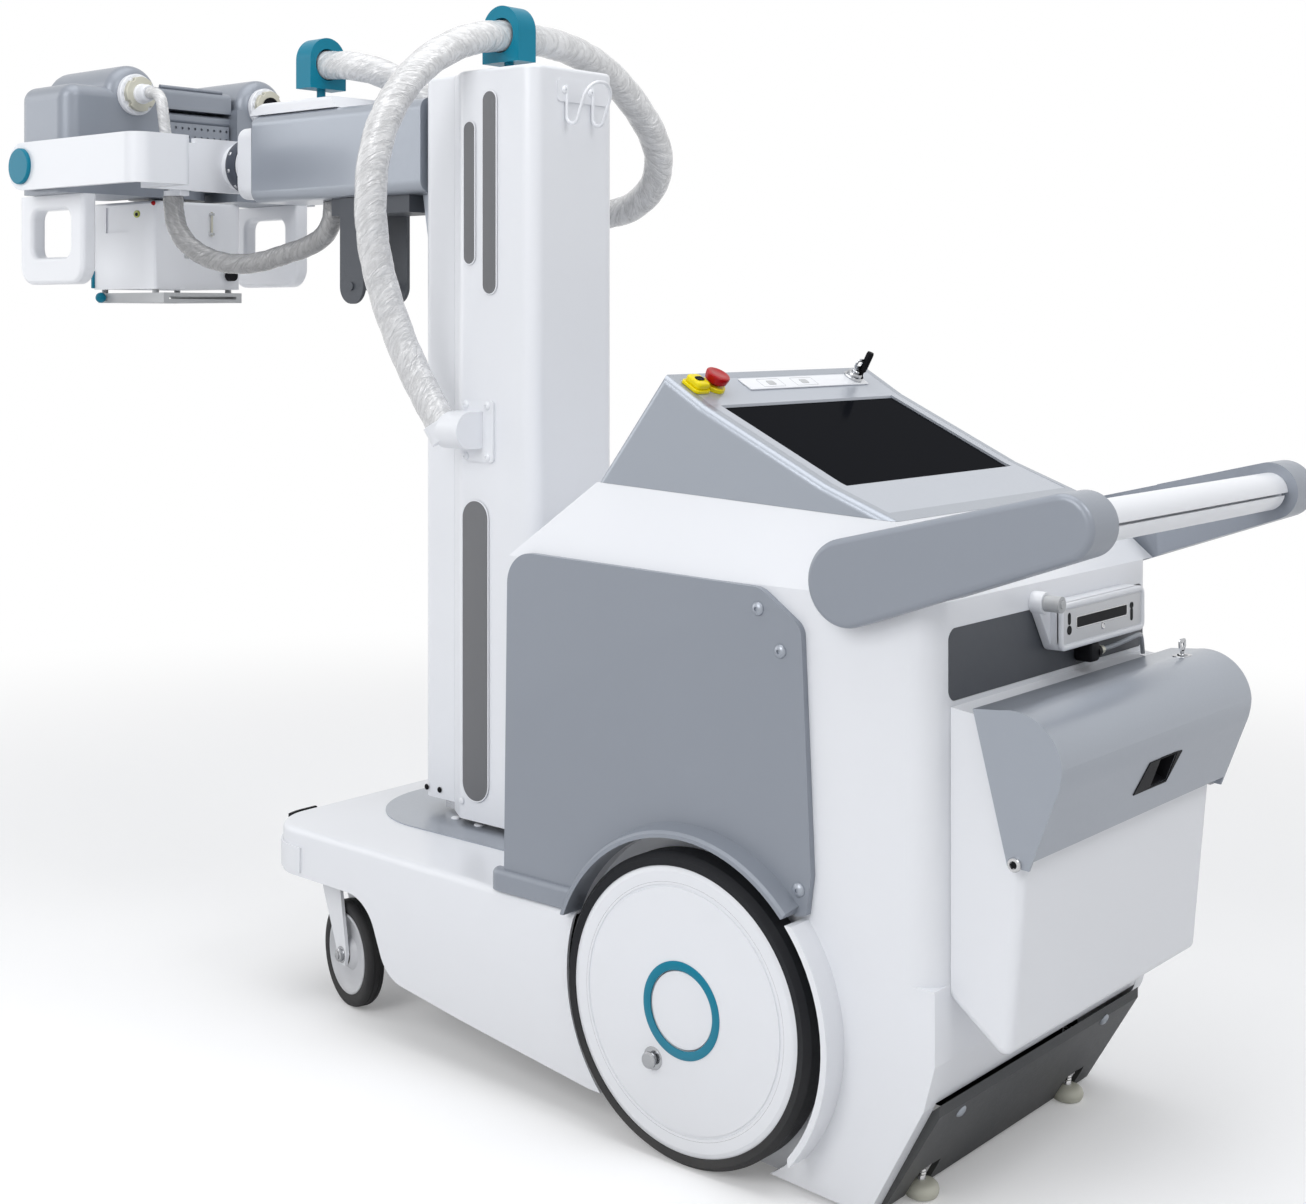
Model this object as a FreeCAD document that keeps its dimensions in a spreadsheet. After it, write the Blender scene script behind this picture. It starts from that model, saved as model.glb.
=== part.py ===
import FreeCAD, Part
import math
import os
import re
from types import SimpleNamespace

import Sketcher
from FreeCAD import Placement, Rotation, Vector

# Mobile x-ray machine. Millimetres, +Z up, front towards -X, operator at +X, left side at -Y.
# The origin is on the floor, below the middle of the machine's length and width.

SIZES = {
    "running_gap": 0.05,
    "seat_gap": 0.3,
    "skin": 4,
    "wall": 5,
    # Drive wheels
    "axle_x": 632,
    "tyre_radius": 230,
    "tyre_width": 55,
    "wheel_proud": 43,
    "disc_radius": 211,
    "ring_radius": 72,
    "ring_width": 13,
    "hub_radius": 42,
    "shaft_radius": 15,
    "arch_radius": 252,
    # Casters
    "caster_x": -286,
    "caster_y": 241,
    "caster_trail": 55,
    "caster_radius": 95,
    "caster_width": 34,
    "caster_swing": 15,
    "kingpin_radius": 12,
    "caster_axle_radius": 7,
    "caster_plate_z": 240,
    # Base
    "base_front": -404,
    "base_nose_half": 325,
    "base_half": 355,
    "nose_round": 90,
    "deck_round": 12,
    "base_rear": 470,
    "deck_top": 322,
    "nose_low": 236,
    "skirt_low": 55,
    "bumper_depth": 4,
    "bumper_height": 46,
    "bumper_wrap": 110,
    "inlay_half": 185,
    "inlay_front": -340,
    "inlay_rear": 180,
    # Body
    "body_front": 237,
    "body_rear": 1041,
    "body_half": 332,
    "body_low": 322.3,
    "shoulder": 865,
    "crown_front": 990,
    "crown_rear": 966,
    "console_front": 388,
    "console_rear": 948,
    "console_half": 285,
    "console_top_x": 525,
    "console_top": 1164,
    "screen_top_x": 600,
    "screen_top": 1119,
    "screen_low_x": 824,
    "screen_low": 1012,
    "screen_half": 240,
    "panel_thick": 11,
    "lip_width": 10,
    "plinth_height": 34,
    "plinth_nose": 27,
    "plinth_depth": 9,
    # Rear
    "bin_half": 292,
    "bin_low": 251,
    "bin_low_x": 1130,
    "bin_heel": 320,
    "lid_pivot_x": 1162,
    "lid_pivot_z": 540,
    "lid_top_x": 1086,
    "lid_top": 723,
    "lid_half": 306,
    "lid_skin": 3,
    "socket_rise": 42,
    "socket_height": 57,
    "strip_gap": 5,
    "strip_height": 100,
    "grip_radius": 12,
    "foot_x": 949,
    "foot_y": 218,
    "foot_radius": 28,
    # Push handle
    "handle_x": 1248,
    "handle_z": 987,
    "handle_front_x": 917,
    "handle_front_z": 886,
    "handle_front_radius": 62,
    "handle_rear_radius": 44,
    "handle_gap": 6,
    "handle_thick": 32,
    "handle_boss": 42,
    "bar_radius": 28.5,
    # Column
    "column_x": -68,
    "column_rear": 148,
    "column_half": 112,
    "column_neck": 80,
    "column_front": 170,
    "column_low": 333,
    "column_top": 1705,
    "pedestal_radius": 88,
    "turn_gap": 0.4,
    # Arm
    "arm_axis": 1575,
    "arm_half": 80,
    "arm_low": 1490,
    "arm_high": 1672,
    "arm_root": 178,
    "arm_tip": 699,
    "flange_half": 75,
    "spigot_radius": 54,
    "sleeve_radius": 29,
    "head_sleeve_radius": 21,
    "hv_cable_radius": 12,
    "clamp_half": 47,
    "clamp_depth": 46,
    "clamp_bore": 32.5,
    "column_clamp_x": -69,
    "column_clamp_y": -20,
    "column_clamp_z": 1775,
    "arm_clamp_x": -632,
    "arm_clamp_z": 1772,
    # Yoke and tube head
    "tilt_x": -1168,
    "tilt_z": 1570,
    "yoke_half": 365,
    "yoke_wall": 16,
    "yoke_height": 100,
    "yoke_back": 138,
    "yoke_plate_x": -898,
    "yoke_pocket": 228,
    "pin_radius": 18,
    "cap_radius": 38,
    "head_gap": 9,
    "head_front": -1222,
    "head_nose": -1292,
    "head_rear": -1040,
    "head_top": 1742,
    "head_low": 1512,
    "bulge_radius": 64,
    "hv_y": 172,
    "hv_z": 1728,
    "barrel_radius": 95,
    "barrel_x": -1160,
    "barrel_z": 1625,
    "collimator_x": 118,
    "collimator_y": 113.5,
    "collimator_low": 1314,
    "collimator_high": 1506,
    "tray_low": 1284,
    "loop_y": 284,
    "loop_thick": 35,
}

# Sizes that follow from others.
WORKED_OUT = {
    "wheel_face": "(body_half + wheel_proud)",
    "handle_face": "(body_half + handle_gap + handle_thick)",
    "bar_half": "(body_half + handle_gap - handle_boss + 1 - seat_gap)",
    "head_end": "(yoke_half - yoke_wall - head_gap)",
    "strip_low": "(lid_top + strip_gap)",
    "strip_high": "(lid_top + strip_gap + strip_height)",
    "socket_low": "(lid_top + socket_rise)",
    "socket_high": "(lid_top + socket_rise + socket_height)",
}
FAR = 3000

doc = FreeCAD.newDocument("mobile_xray_machine")
sheet = doc.addObject("Spreadsheet::Sheet", "Sizes")
for row, (alias, amount) in enumerate(SIZES.items(), start=1):
    sheet.set("A%d" % row, alias)
    sheet.set("B%d" % row, str(amount))
    sheet.setAlias("B%d" % row, alias)
doc.recompute()
nodes = []

TURNS = {
    "xy": Rotation(),
    "xz": Rotation(Vector(1, 0, 0), 90),
    "yz": Rotation(Vector(1, 1, 1), 120),
}
AXES = {
    "z": Rotation(),
    "y": Rotation(Vector(1, 0, 0), -90),
    "x": Rotation(Vector(0, 1, 0), 90),
}


def spelled(text):
    """An expression with each worked-out name written as the sheet names that it stands for."""
    return re.sub(r"[a-z][a-z_]+", lambda word: WORKED_OUT.get(word.group(0), word.group(0)), str(text))


def value(text):
    """The number that an expression of size names gives."""
    return float(sheet.evalExpression(spelled(text)))


def bound(text):
    """The same expression, with each name read from the sheet."""
    return re.sub(r"[a-z][a-z_]+", lambda word: "Sizes." + word.group(0), spelled(text))


s = SimpleNamespace(**{name: value(name) for name in [*SIZES, *WORKED_OUT]})


def bind(item, path, text):
    item.setExpression(path, bound(text))


def place(item, at, turn=None):
    """Puts an item at three expressions, turned about its own origin."""
    item.Placement = Placement(Vector(*[value(text) for text in at]), turn or Rotation())
    for axis, text in zip("xyz", at):
        bind(item, "Placement.Base." + axis, text)
    return item


def box(name, length, width, height, at):
    item = doc.addObject("Part::Box", name)
    for prop, text in (("Length", length), ("Width", width), ("Height", height)):
        bind(item, prop, text)
    return place(item, at)


def rod(name, radius, length, at, axis="z"):
    """A cylinder from its base point along +X, +Y or +Z."""
    item = doc.addObject("Part::Cylinder", name)
    bind(item, "Radius", radius)
    bind(item, "Height", length)
    return place(item, at, AXES[axis])


def fuse(name, *shapes):
    item = doc.addObject("Part::MultiFuse", name)
    item.Shapes = list(shapes)
    item.Refine = True
    return item


def group(name, *shapes):
    """Separate solids that share one node."""
    item = doc.addObject("Part::Compound", name)
    item.Links = list(shapes)
    return item


def cut(name, base, *tools):
    item = doc.addObject("Part::Cut", name)
    item.Base = base
    item.Tool = tools[0] if len(tools) == 1 else group(name + "_tools", *tools)
    item.Refine = True
    return item


def common(name, first, second):
    item = doc.addObject("Part::Common", name)
    item.Base = first
    item.Tool = second
    return item


def softened(name, base, radius, chosen):
    """Rounds the edges of an item for which chosen(bounding box) is true."""
    doc.recompute()
    item = doc.addObject("Part::Fillet", name)
    item.Base = base
    size = value(radius)
    numbered = enumerate(base.Shape.Edges, start=1)
    item.Edges = [(number, size, size) for number, edge in numbered if chosen(edge.BoundBox)]
    return item


def mirrored(name, source):
    """The same item on the other side of the machine's middle plane."""
    item = doc.addObject("Part::Mirroring", name)
    item.Source = source
    item.Normal = Vector(0, 1, 0)
    return item


def sketch_in(body, corners):
    """A closed outline on the body's XY plane, each corner held by two bound distances."""
    sketch = body.newObject("Sketcher::SketchObject", body.Name + "_outline")
    plane = [item for item in body.Origin.OriginFeatures if item.Role == "XY_Plane"][0]
    sketch.AttachmentSupport = [(plane, "")]
    sketch.MapMode = "FlatFace"
    points = [Vector(value(x), value(y), 0) for x, y in corners]
    count = len(points)
    for index in range(count):
        sketch.addGeometry(Part.LineSegment(points[index], points[(index + 1) % count]))
    for index in range(count):
        sketch.addConstraint(Sketcher.Constraint("Coincident", index, 2, (index + 1) % count, 1))
    for index, (corner, point) in enumerate(zip(corners, points)):
        for kind, text, amount in (("DistanceX", corner[0], point.x), ("DistanceY", corner[1], point.y)):
            number = sketch.addConstraint(Sketcher.Constraint(kind, -1, 1, index, 1, amount))
            label = kind[-1].lower() + "_corner%d" % index
            sketch.renameConstraint(number, label)
            sketch.setExpression("Constraints." + label, bound(text))
    return sketch


def upright_edge(shape, x, y):
    """The name of the edge that stands on the outline's corner at x, y."""
    for index, edge in enumerate(shape.Edges, start=1):
        ends = [vertex.Point for vertex in edge.Vertexes]
        if len(ends) == 2 and all(math.hypot(end.x - x, end.y - y) < 0.01 for end in ends):
            return "Edge%d" % index
    raise ValueError("no upright edge at %.1f, %.1f" % (x, y))


def prism(name, plane, corners, depth, at=(0, 0, 0), rounds=None):
    """A padded outline. It lies in the plane named, in that plane's own two coordinates, and is
    carried up +Z, along -Y or along +X. rounds gives the radius at a corner, by its number."""
    body = doc.addObject("PartDesign::Body", name)
    sketch = sketch_in(body, corners)
    pad = body.newObject("PartDesign::Pad", name + "_pad")
    pad.Profile = sketch
    bind(pad, "Length", depth)
    place(body, at, TURNS[plane])
    doc.recompute()
    base = pad
    for radius in dict.fromkeys((rounds or {}).values()):
        chosen = [index for index, amount in rounds.items() if amount == radius]
        edges = [upright_edge(base.Shape, value(corners[i][0]), value(corners[i][1])) for i in chosen]
        fillet = body.newObject("PartDesign::Fillet", name + "_round")
        fillet.Base = (base, edges)
        bind(fillet, "Radius", radius)
        doc.recompute()
        base = fillet
    return body


def turned(name, profile, at, axis="z"):
    """A profile of (radius, height) corners, turned about its height axis."""
    body = doc.addObject("PartDesign::Body", name)
    sketch = sketch_in(body, profile)
    spin = body.newObject("PartDesign::Revolution", name + "_turn")
    spin.Profile = sketch
    spin.ReferenceAxis = (sketch, ["V_Axis"])
    spin.Angle = 360
    lay = {"z": Rotation(Vector(1, 0, 0), 90), "y": Rotation(), "x": Rotation(Vector(0, 0, 1), -90)}
    return place(body, at, lay[axis])


def carved(name, shape):
    """A form that no primitive or pad gives, worked out from the sheet's sizes."""
    item = doc.addObject("Part::Feature", name)
    item.Shape = shape
    return item


def node(label, item):
    item.Label = label
    nodes.append(item)
    return item


def slab(points, axis, low, high):
    """A flat outline of plain numbers carried from low to high along an axis."""
    order = {
        "x": lambda a, b: Vector(low, a, b),
        "y": lambda a, b: Vector(a, low, b),
        "z": lambda a, b: Vector(a, b, low),
    }[axis]
    corners = [order(a, b) for a, b in points]
    face = Part.Face(Part.makePolygon(corners + corners[:1]))
    way = {"x": Vector(1, 0, 0), "y": Vector(0, 1, 0), "z": Vector(0, 0, 1)}[axis]
    return face.extrude(way * (high - low))


def block(x0, x1, y0, y1, z0, z1):
    return Part.makeBox(x1 - x0, y1 - y0, z1 - z0, Vector(x0, y0, z0))


def drum(radius, centre, direction, length):
    return Part.makeCylinder(radius, length, Vector(*centre), Vector(*direction))


def rounded(shape, radius, chosen):
    """Rounds the straight edges for which chosen(middle, direction) is true."""
    edges = []
    for edge in shape.Edges:
        if len(edge.Vertexes) == 2 and isinstance(edge.Curve, Part.Line):
            start, end = (vertex.Point for vertex in edge.Vertexes)
            if chosen((start + end) * 0.5, (end - start).normalize()):
                edges.append(edge)
    return shape.makeFillet(radius, edges) if edges else shape


def both_sides(shape):
    """A solid and its mirror image across the machine's middle plane, as one compound."""
    return Part.makeCompound([shape, shape.mirror(Vector(0, 0, 0), Vector(0, 1, 0))])


# Drive wheels: a solid tyre on a dished disc whose hub turns on the motor's shaft.
inner_face = "-wheel_face + tyre_width"
tyre_profile = [
    ("disc_radius - 14", "-wheel_face + 8.3"),
    ("disc_radius + 0.3", "-wheel_face + 8.3"),
    ("disc_radius + 0.3", "-wheel_face + 2"),
    ("tyre_radius - 8", "-wheel_face"),
    ("tyre_radius", "-wheel_face + 10"),
    ("tyre_radius", inner_face + " - 10"),
    ("tyre_radius - 8", inner_face),
    ("disc_radius - 14", inner_face + " - 4"),
]
disc_profile = [
    ("shaft_radius + running_gap", "-wheel_face + 14"),
    ("ring_radius - ring_width", "-wheel_face + 14"),
    ("ring_radius - ring_width", "-wheel_face + 5"),
    ("ring_radius", "-wheel_face + 5"),
    ("ring_radius", "-wheel_face + 3"),
    ("disc_radius - 32", "-wheel_face + 3"),
    ("disc_radius - 31", "-wheel_face + 5"),
    ("disc_radius - 28", "-wheel_face + 5"),
    ("disc_radius - 27", "-wheel_face + 3"),
    ("disc_radius - 8", "-wheel_face + 1"),
    ("disc_radius", "-wheel_face + 4"),
    ("disc_radius", "-wheel_face + 8"),
    ("disc_radius - 14.3", "-wheel_face + 8"),
    ("disc_radius - 14.3", inner_face + " - 6"),
    ("disc_radius - 22", inner_face + " - 6"),
    ("disc_radius - 22", "-wheel_face + 14"),
    ("hub_radius + 6", "-wheel_face + 18"),
    ("hub_radius", inner_face + " - 6"),
    ("shaft_radius + running_gap", inner_face + " - 6"),
]
hub_centre = ("axle_x", 0, "tyre_radius")
for side in ("left", "right"):
    tyre = turned("tyre_" + side, tyre_profile, hub_centre, "y")
    centre = turned("centre_" + side, disc_profile, hub_centre, "y")
    cover_at = ("axle_x", "-wheel_face + 4.5", "tyre_radius")
    cover = rod("hub_cover_" + side, "ring_radius - ring_width - 2", 9, cover_at, "y")
    disc = fuse("disc_" + side, centre, cover)
    if side == "right":
        tyre = mirrored("tyre_mirror", tyre)
        disc = mirrored("disc_mirror", disc)
    node("drive_tyre_" + side, tyre)
    node("wheel_disc_" + side, disc)

# Casters: a forged fork that swivels on its kingpin, and a wheel that trails it.
swing = Rotation(Vector(0, 0, 1), -s.caster_swing)
fork_gap = s.caster_width / 2 + 2.5
fork_wall = 6
fork_top = s.caster_plate_z - 2
for side, sign in (("left", -1), ("right", 1)):
    kingpin = Vector(s.caster_x, sign * s.caster_y, 0)
    crown = block(-30, 46, -fork_gap - fork_wall, fork_gap + fork_wall, fork_top - 12, fork_top)
    crown = rounded(crown, 14, lambda middle, way: abs(way.z) > 0.9)
    cheek = [
        (-24, fork_top - 12), (46, fork_top - 12), (s.caster_trail + 20, s.caster_radius + 4),
        (s.caster_trail + 13, s.caster_radius - 17), (s.caster_trail - 13, s.caster_radius - 17),
        (s.caster_trail - 22, s.caster_radius + 8), (-24, fork_top - 38),
    ]
    cheeks = [
        slab(cheek, "y", fork_gap, fork_gap + fork_wall),
        slab(cheek, "y", -fork_gap - fork_wall, -fork_gap),
    ]
    pin = drum(s.kingpin_radius, (0, 0, fork_top - 6), (0, 0, 1), 24)
    axle_half = fork_gap + fork_wall + 9
    axle = drum(s.caster_axle_radius, (s.caster_trail, -axle_half, s.caster_radius), (0, 1, 0), 2 * axle_half)
    nuts = [
        drum(11, (s.caster_trail, y, s.caster_radius), (0, 1, 0), 7)
        for y in (-fork_gap - fork_wall - 6.5, fork_gap + fork_wall - 0.5)
    ]
    fork = crown.multiFuse(cheeks + [pin, axle] + nuts).removeSplitter()
    fork.Placement = Placement(kingpin, swing)
    node("caster_fork_" + side, carved("fork_" + side, fork))

    wheel_at = kingpin + swing.multVec(Vector(s.caster_trail, 0, s.caster_radius))
    bore = s.caster_axle_radius + s.running_gap
    half = s.caster_width / 2
    tread = [
        (s.caster_radius - 23, -half + 3), (s.caster_radius - 6, -half), (s.caster_radius, -half + 8),
        (s.caster_radius, half - 8), (s.caster_radius - 6, half), (s.caster_radius - 23, half - 3),
    ]
    rim = [
        (bore, -half - 1), (22, -half - 1), (28, -half + 9), (s.caster_radius - 34, -half + 9),
        (s.caster_radius - 27, -half + 1), (s.caster_radius - 23.3, -half + 1),
        (s.caster_radius - 23.3, half - 1), (s.caster_radius - 27, half - 1),
        (s.caster_radius - 34, half - 9), (28, half - 9), (22, half + 1), (bore, half + 1),
    ]
    solids = []
    for profile in (tread, rim):
        corners = [Vector(radius, height, 0) for radius, height in profile]
        face = Part.Face(Part.makePolygon(corners + corners[:1]))
        solids.append(face.revolve(Vector(0, 0, 0), Vector(0, 1, 0), 360))
    wheel = Part.makeCompound(solids)
    wheel.Placement = Placement(wheel_at, swing)
    node("caster_wheel_" + side, carved("wheel_" + side, wheel))

# Welded frame: low rails between the drive wheels, a raised front over the casters, the column's seat.
rail_low = 118
rail_high = 170
rail_y = 140
rail_wide = 40
plate_top = s.caster_plate_z + 16
frame_parts = []
for sign in (-1, 1):
    y0, y1 = sorted((sign * rail_y, sign * (rail_y + rail_wide)))
    frame_parts.append(block(-60, 960, y0, y1, rail_low, rail_high))
    frame_parts.append(block(-60, -20, y0, y1, rail_low, 290))
    frame_parts.append(block(s.base_front + 25, -20, y0, y1, plate_top, 290))
    frame_parts.append(drum(30, (s.caster_x, sign * s.caster_y, s.caster_plate_z), (0, 0, 1), 34))
frame_parts.append(block(s.caster_x - 50, s.caster_x + 70, -282, 282, s.caster_plate_z, plate_top))
frame_parts.append(block(-60, -20, -rail_y - 10, rail_y + 10, rail_low, rail_high))
frame_parts.append(block(920, 960, -rail_y - 10, rail_y + 10, rail_low, rail_high))
frame_parts.append(block(s.column_x - 110, s.column_x + 110, -170, 170, 282, 296))
deck_seat = s.deck_top - s.skin - s.seat_gap
for sign in (-1, 1):
    for x in (s.base_front + 60, s.column_x + 20):
        frame_parts.append(drum(15, (x, sign * (rail_y + 20), 280), (0, 0, 1), deck_seat - 280))
frame_parts.append(drum(s.pedestal_radius, (s.column_x, 0, 290), (0, 0, 1), s.column_low - 8 - 290))
for sign in (-1, 1):
    frame_parts.append(drum(16, (s.foot_x, sign * s.foot_y, 122), (0, 0, 1), 46))
    y0, y1 = sorted((sign * (rail_y + 30), sign * (s.foot_y + 20)))
    frame_parts.append(block(930, s.foot_x + 11, y0, y1, 130, 168))
frame = frame_parts[0].multiFuse(frame_parts[1:]).removeSplitter()
for sign in (-1, 1):
    seat = (s.caster_x, sign * s.caster_y, s.caster_plate_z - 5)
    frame = frame.cut(drum(s.kingpin_radius + s.running_gap, seat, (0, 0, 1), 30))
    frame = frame.cut(drum(8 + s.running_gap, (s.foot_x, sign * s.foot_y, 110), (0, 0, 1), 52))
node("chassis_frame", carved("frame", frame))

# Battery pack on the rails, and the high voltage generator on top of it.
battery = box("battery", 440, 540, 146, (90, -270, "%g" % rail_high))
generator = box("generator", 430, 400, 260, (320, -200, "%g + 146" % rail_high))
node("power_units", group("power", battery, generator))

# Gear motors: each stands on a rail and carries a drive wheel on its shaft.
motors = []
for side in ("left", "right"):
    can = rod("motor_can_" + side, 46, 150, ("axle_x", -260, "tyre_radius"), "y")
    gearbox = rod("gearbox_" + side, 56, 45, ("axle_x", "-305", "tyre_radius"), "y")
    shaft_at = ("axle_x", "-wheel_face + 14.5", "tyre_radius")
    shaft = rod("shaft_" + side, "shaft_radius", "wheel_face - 14.5 - 290", shaft_at, "y")
    saddle = box("saddle_" + side, 80, 30, "tyre_radius - 30 - 170", ("axle_x - 40", -175, 170))
    motor = fuse("motor_" + side, can, gearbox, shaft, saddle)
    motors.append(motor if side == "left" else mirrored("motor_mirror", motor))
node("drive_motors", group("motors", *motors))

# Base: a moulded deck with skirts that rise over the casters.
side_line = [
    ("base_front", "nose_low + 12"),
    ("base_front + 16", "nose_low"),
    (-110, "nose_low"),
    (-55, "skirt_low + 55"),
    (134, "skirt_low + 31"),
    (432, "skirt_low"),
    ("base_rear", "skirt_low"),
    ("base_rear", "deck_top"),
    ("base_front", "deck_top"),
]
side_rounds = {2: "80", 3: "70"}
plan_line = [
    ("base_front", "-base_nose_half"),
    ("base_rear", "-base_half"),
    ("base_rear", "base_half"),
    ("base_front", "base_nose_half"),
]
plan_rounds = {0: "nose_round", 3: "nose_round"}
side_form = prism("deck_side", "xz", side_line, "2 * base_half", (0, "base_half", 0), side_rounds)
plan_form = prism("deck_plan", "xy", plan_line, "deck_top", (0, 0, 0), plan_rounds)
outer = softened(
    "deck_soft", common("deck_outer", side_form, plan_form), "deck_round",
    lambda edge: edge.ZMin > s.deck_top - 0.01 and edge.XMin < s.base_rear - 1,
)
hollow_side = [
    ("base_front + skin", "nose_low - 40"),
    (-106, "nose_low - 40"),
    (-51, "skirt_low - 40"),
    ("base_rear + 40", "skirt_low - 40"),
    ("base_rear + 40", "deck_top - skin"),
    ("base_front + skin", "deck_top - skin"),
]
hollow_plan = [
    ("base_front + skin", "-base_nose_half + skin"),
    ("base_rear + 40", "-base_half + skin"),
    ("base_rear + 40", "base_half - skin"),
    ("base_front + skin", "base_nose_half - skin"),
]
hollow_form = prism("deck_void_side", "xz", hollow_side, "2 * base_half", (0, "base_half", 0))
hollow_rounds = {0: "nose_round - skin", 3: "nose_round - skin"}
hollow_cut = prism("deck_void_plan", "xy", hollow_plan, "deck_top + 40", (0, 0, -40), hollow_rounds)
hollow = common("deck_void", hollow_form, hollow_cut)
arch_from = ("axle_x", "-base_half - 10", "tyre_radius")
arch = rod("deck_arch", "arch_radius - 4", "2 * base_half + 20", arch_from, "y")
column_hole = rod("deck_hole", "pedestal_radius + 3", 60, ("column_x", 0, "deck_top - 40"))
service_hole = box("deck_opening", "base_rear - 260 + 10", 520, 60, (260, -260, "deck_top - 40"))
base_shell = cut("deck_shell", outer, hollow, arch, column_hole, service_hole)
node("base_shell", base_shell)

# Grey stadium-shaped inlay on the deck, round the column's foot.
inlay_line = [
    ("inlay_front", "-inlay_half"), ("inlay_rear", "-inlay_half"),
    ("inlay_rear", "inlay_half"), ("inlay_front", "inlay_half"),
]
inlay_rounds = {0: "inlay_half - 1", 3: "inlay_half - 1", 1: "70", 2: "70"}
inlay_plate = prism("inlay_plate", "xy", inlay_line, 2, (0, 0, "deck_top"), inlay_rounds)
inlay_hole = rod("inlay_hole", "pedestal_radius + 3", 10, ("column_x", 0, "deck_top - 2"))
node("deck_inlay", cut("inlay", inlay_plate, inlay_hole))

# Front bumper: a band that wraps round the nose's corners.
flare = "(base_half - base_nose_half) / (base_rear - base_front)"


def band_form(name, proud, end, low, height):
    """The nose's outline, moved outwards by proud and closed at x = end."""
    half = "base_nose_half + %s + (%s - base_front) * %s" % (proud, end, flare)
    line = [
        ("base_front - " + proud, "-base_nose_half - " + proud), (end, "-(%s)" % half),
        (end, half), ("base_front - " + proud, "base_nose_half + " + proud),
    ]
    rounds = {0: "nose_round + " + proud, 3: "nose_round + " + proud}
    return prism(name, "xy", line, height, (0, 0, low), rounds)


band_end = "base_front + bumper_wrap"
band_outer = band_form("bumper_outer", "bumper_depth", band_end, "nose_low + 8", "bumper_height")
band_inner = band_form("bumper_inner", "seat_gap", band_end + " + 5", "nose_low", "bumper_height + 20")
node("front_bumper", cut("bumper", band_outer, band_inner))


def frustum(inset, low):
    """The body's upper cover: straight sides that lean in from the shoulder to the console's foot."""
    half = s.body_half - inset
    top_half = s.console_half - inset
    foot = [
        Vector(s.body_front + inset, -half, low), Vector(s.body_rear - inset, -half, low),
        Vector(s.body_rear - inset, half, low), Vector(s.body_front + inset, half, low),
    ]
    crown = [
        Vector(s.console_front + inset, -top_half, s.crown_front - inset),
        Vector(s.console_rear, -top_half, s.crown_rear - inset),
        Vector(s.console_rear, top_half, s.crown_rear - inset),
        Vector(s.console_front + inset, top_half, s.crown_front - inset),
    ]
    wires = [Part.makePolygon(ring + ring[:1]) for ring in (foot, crown)]
    return Part.makeLoft(wires, True, True)


# Body: white moulding with wheel pockets, a leaning upper cover and skirts behind the wheels.
heel_x = 974
heel_z = 44
body_box = block(s.body_front, s.body_rear, -s.body_half, s.body_half, s.body_low, s.shoulder)
body_box = rounded(body_box, 45, lambda middle, way: abs(way.z) > 0.9)
outer_body = body_box.fuse(frustum(0, s.shoulder))
inner_box = block(
    s.body_front + s.wall, s.body_rear - s.wall, -s.body_half + s.wall, s.body_half - s.wall,
    s.body_low - 20, s.shoulder,
)
inner_box = rounded(inner_box, 40, lambda middle, way: abs(way.z) > 0.9)
cavity = inner_box.fuse(frustum(s.wall, s.shoulder))
pocket_wall = s.wheel_face - s.tyre_width - 8
skirt_line = [
    (s.axle_x + 60, s.body_low + 20), (s.axle_x + 60, 20), (876, 10), (heel_x - 40, 10),
    (s.body_rear - 18, 175), (s.body_rear, 240), (s.body_rear, s.body_low + 20),
]
skirt = slab(skirt_line, "y", -s.body_half, -s.body_half + 30)
cup_at = (s.axle_x, -s.body_half, s.tyre_radius)
cup = drum(s.arch_radius + 5, cup_at, (0, 1, 0), s.body_half - pocket_wall + 5)
cup = cup.common(block(0, FAR, -s.body_half, 0, s.body_low, FAR))
hub = (s.axle_x, -s.wheel_face, s.tyre_radius)
lip = drum(s.arch_radius + s.lip_width, hub, (0, 1, 0), s.wheel_face - s.body_half + 3)
lip_span = [
    (s.axle_x + 195, 60), (876, 10), (FAR, 40), (FAR, 600),
    (s.axle_x + 188, s.tyre_radius + 166),
]
lip = lip.common(slab(lip_span, "y", -s.wheel_face, 0))
boss_from = s.body_half + s.handle_gap - s.seat_gap
boss_to = s.body_half - 16
boss = drum(36, (s.handle_front_x, -boss_from, s.handle_front_z), (0, 1, 0), boss_from - boss_to)
side_parts = [skirt, cup, lip, boss]
mirror_parts = [part.mirror(Vector(0, 0, 0), Vector(0, 1, 0)) for part in side_parts]
tail_line = [
    (s.body_rear - 18, 178), (s.body_rear, 240), (s.body_rear, s.body_low + 20),
    (s.body_rear - s.wall, s.body_low + 20), (s.body_rear - s.wall, 242), (s.body_rear - 18 - s.wall, 178),
]
tail = slab(tail_line, "y", -s.body_half + 25, s.body_half - 25)
shell = outer_body.cut(cavity).multiFuse(side_parts + mirror_parts + [tail])
for sign in (-1, 1):
    start = (s.axle_x, sign * (s.wheel_face + 20), s.tyre_radius)
    shell = shell.cut(drum(s.arch_radius, start, (0, -sign, 0), s.wheel_face + 20 - pocket_wall))
strip_half = s.body_half - 36
strip_round = 16


def strip_form(inset, x0, x1):
    """The rear strip's form with its four corners rounded, drawn in by inset."""
    form = block(x0, x1, inset - strip_half, strip_half - inset, s.strip_low + inset, s.strip_high - inset)
    return rounded(form, strip_round - inset, lambda middle, way: abs(way.x) > 0.9)


shell = shell.cut(strip_form(0, s.body_rear - 3, s.body_rear + 10))
node("body_shell", carved("body", shell.removeSplitter()))

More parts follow.
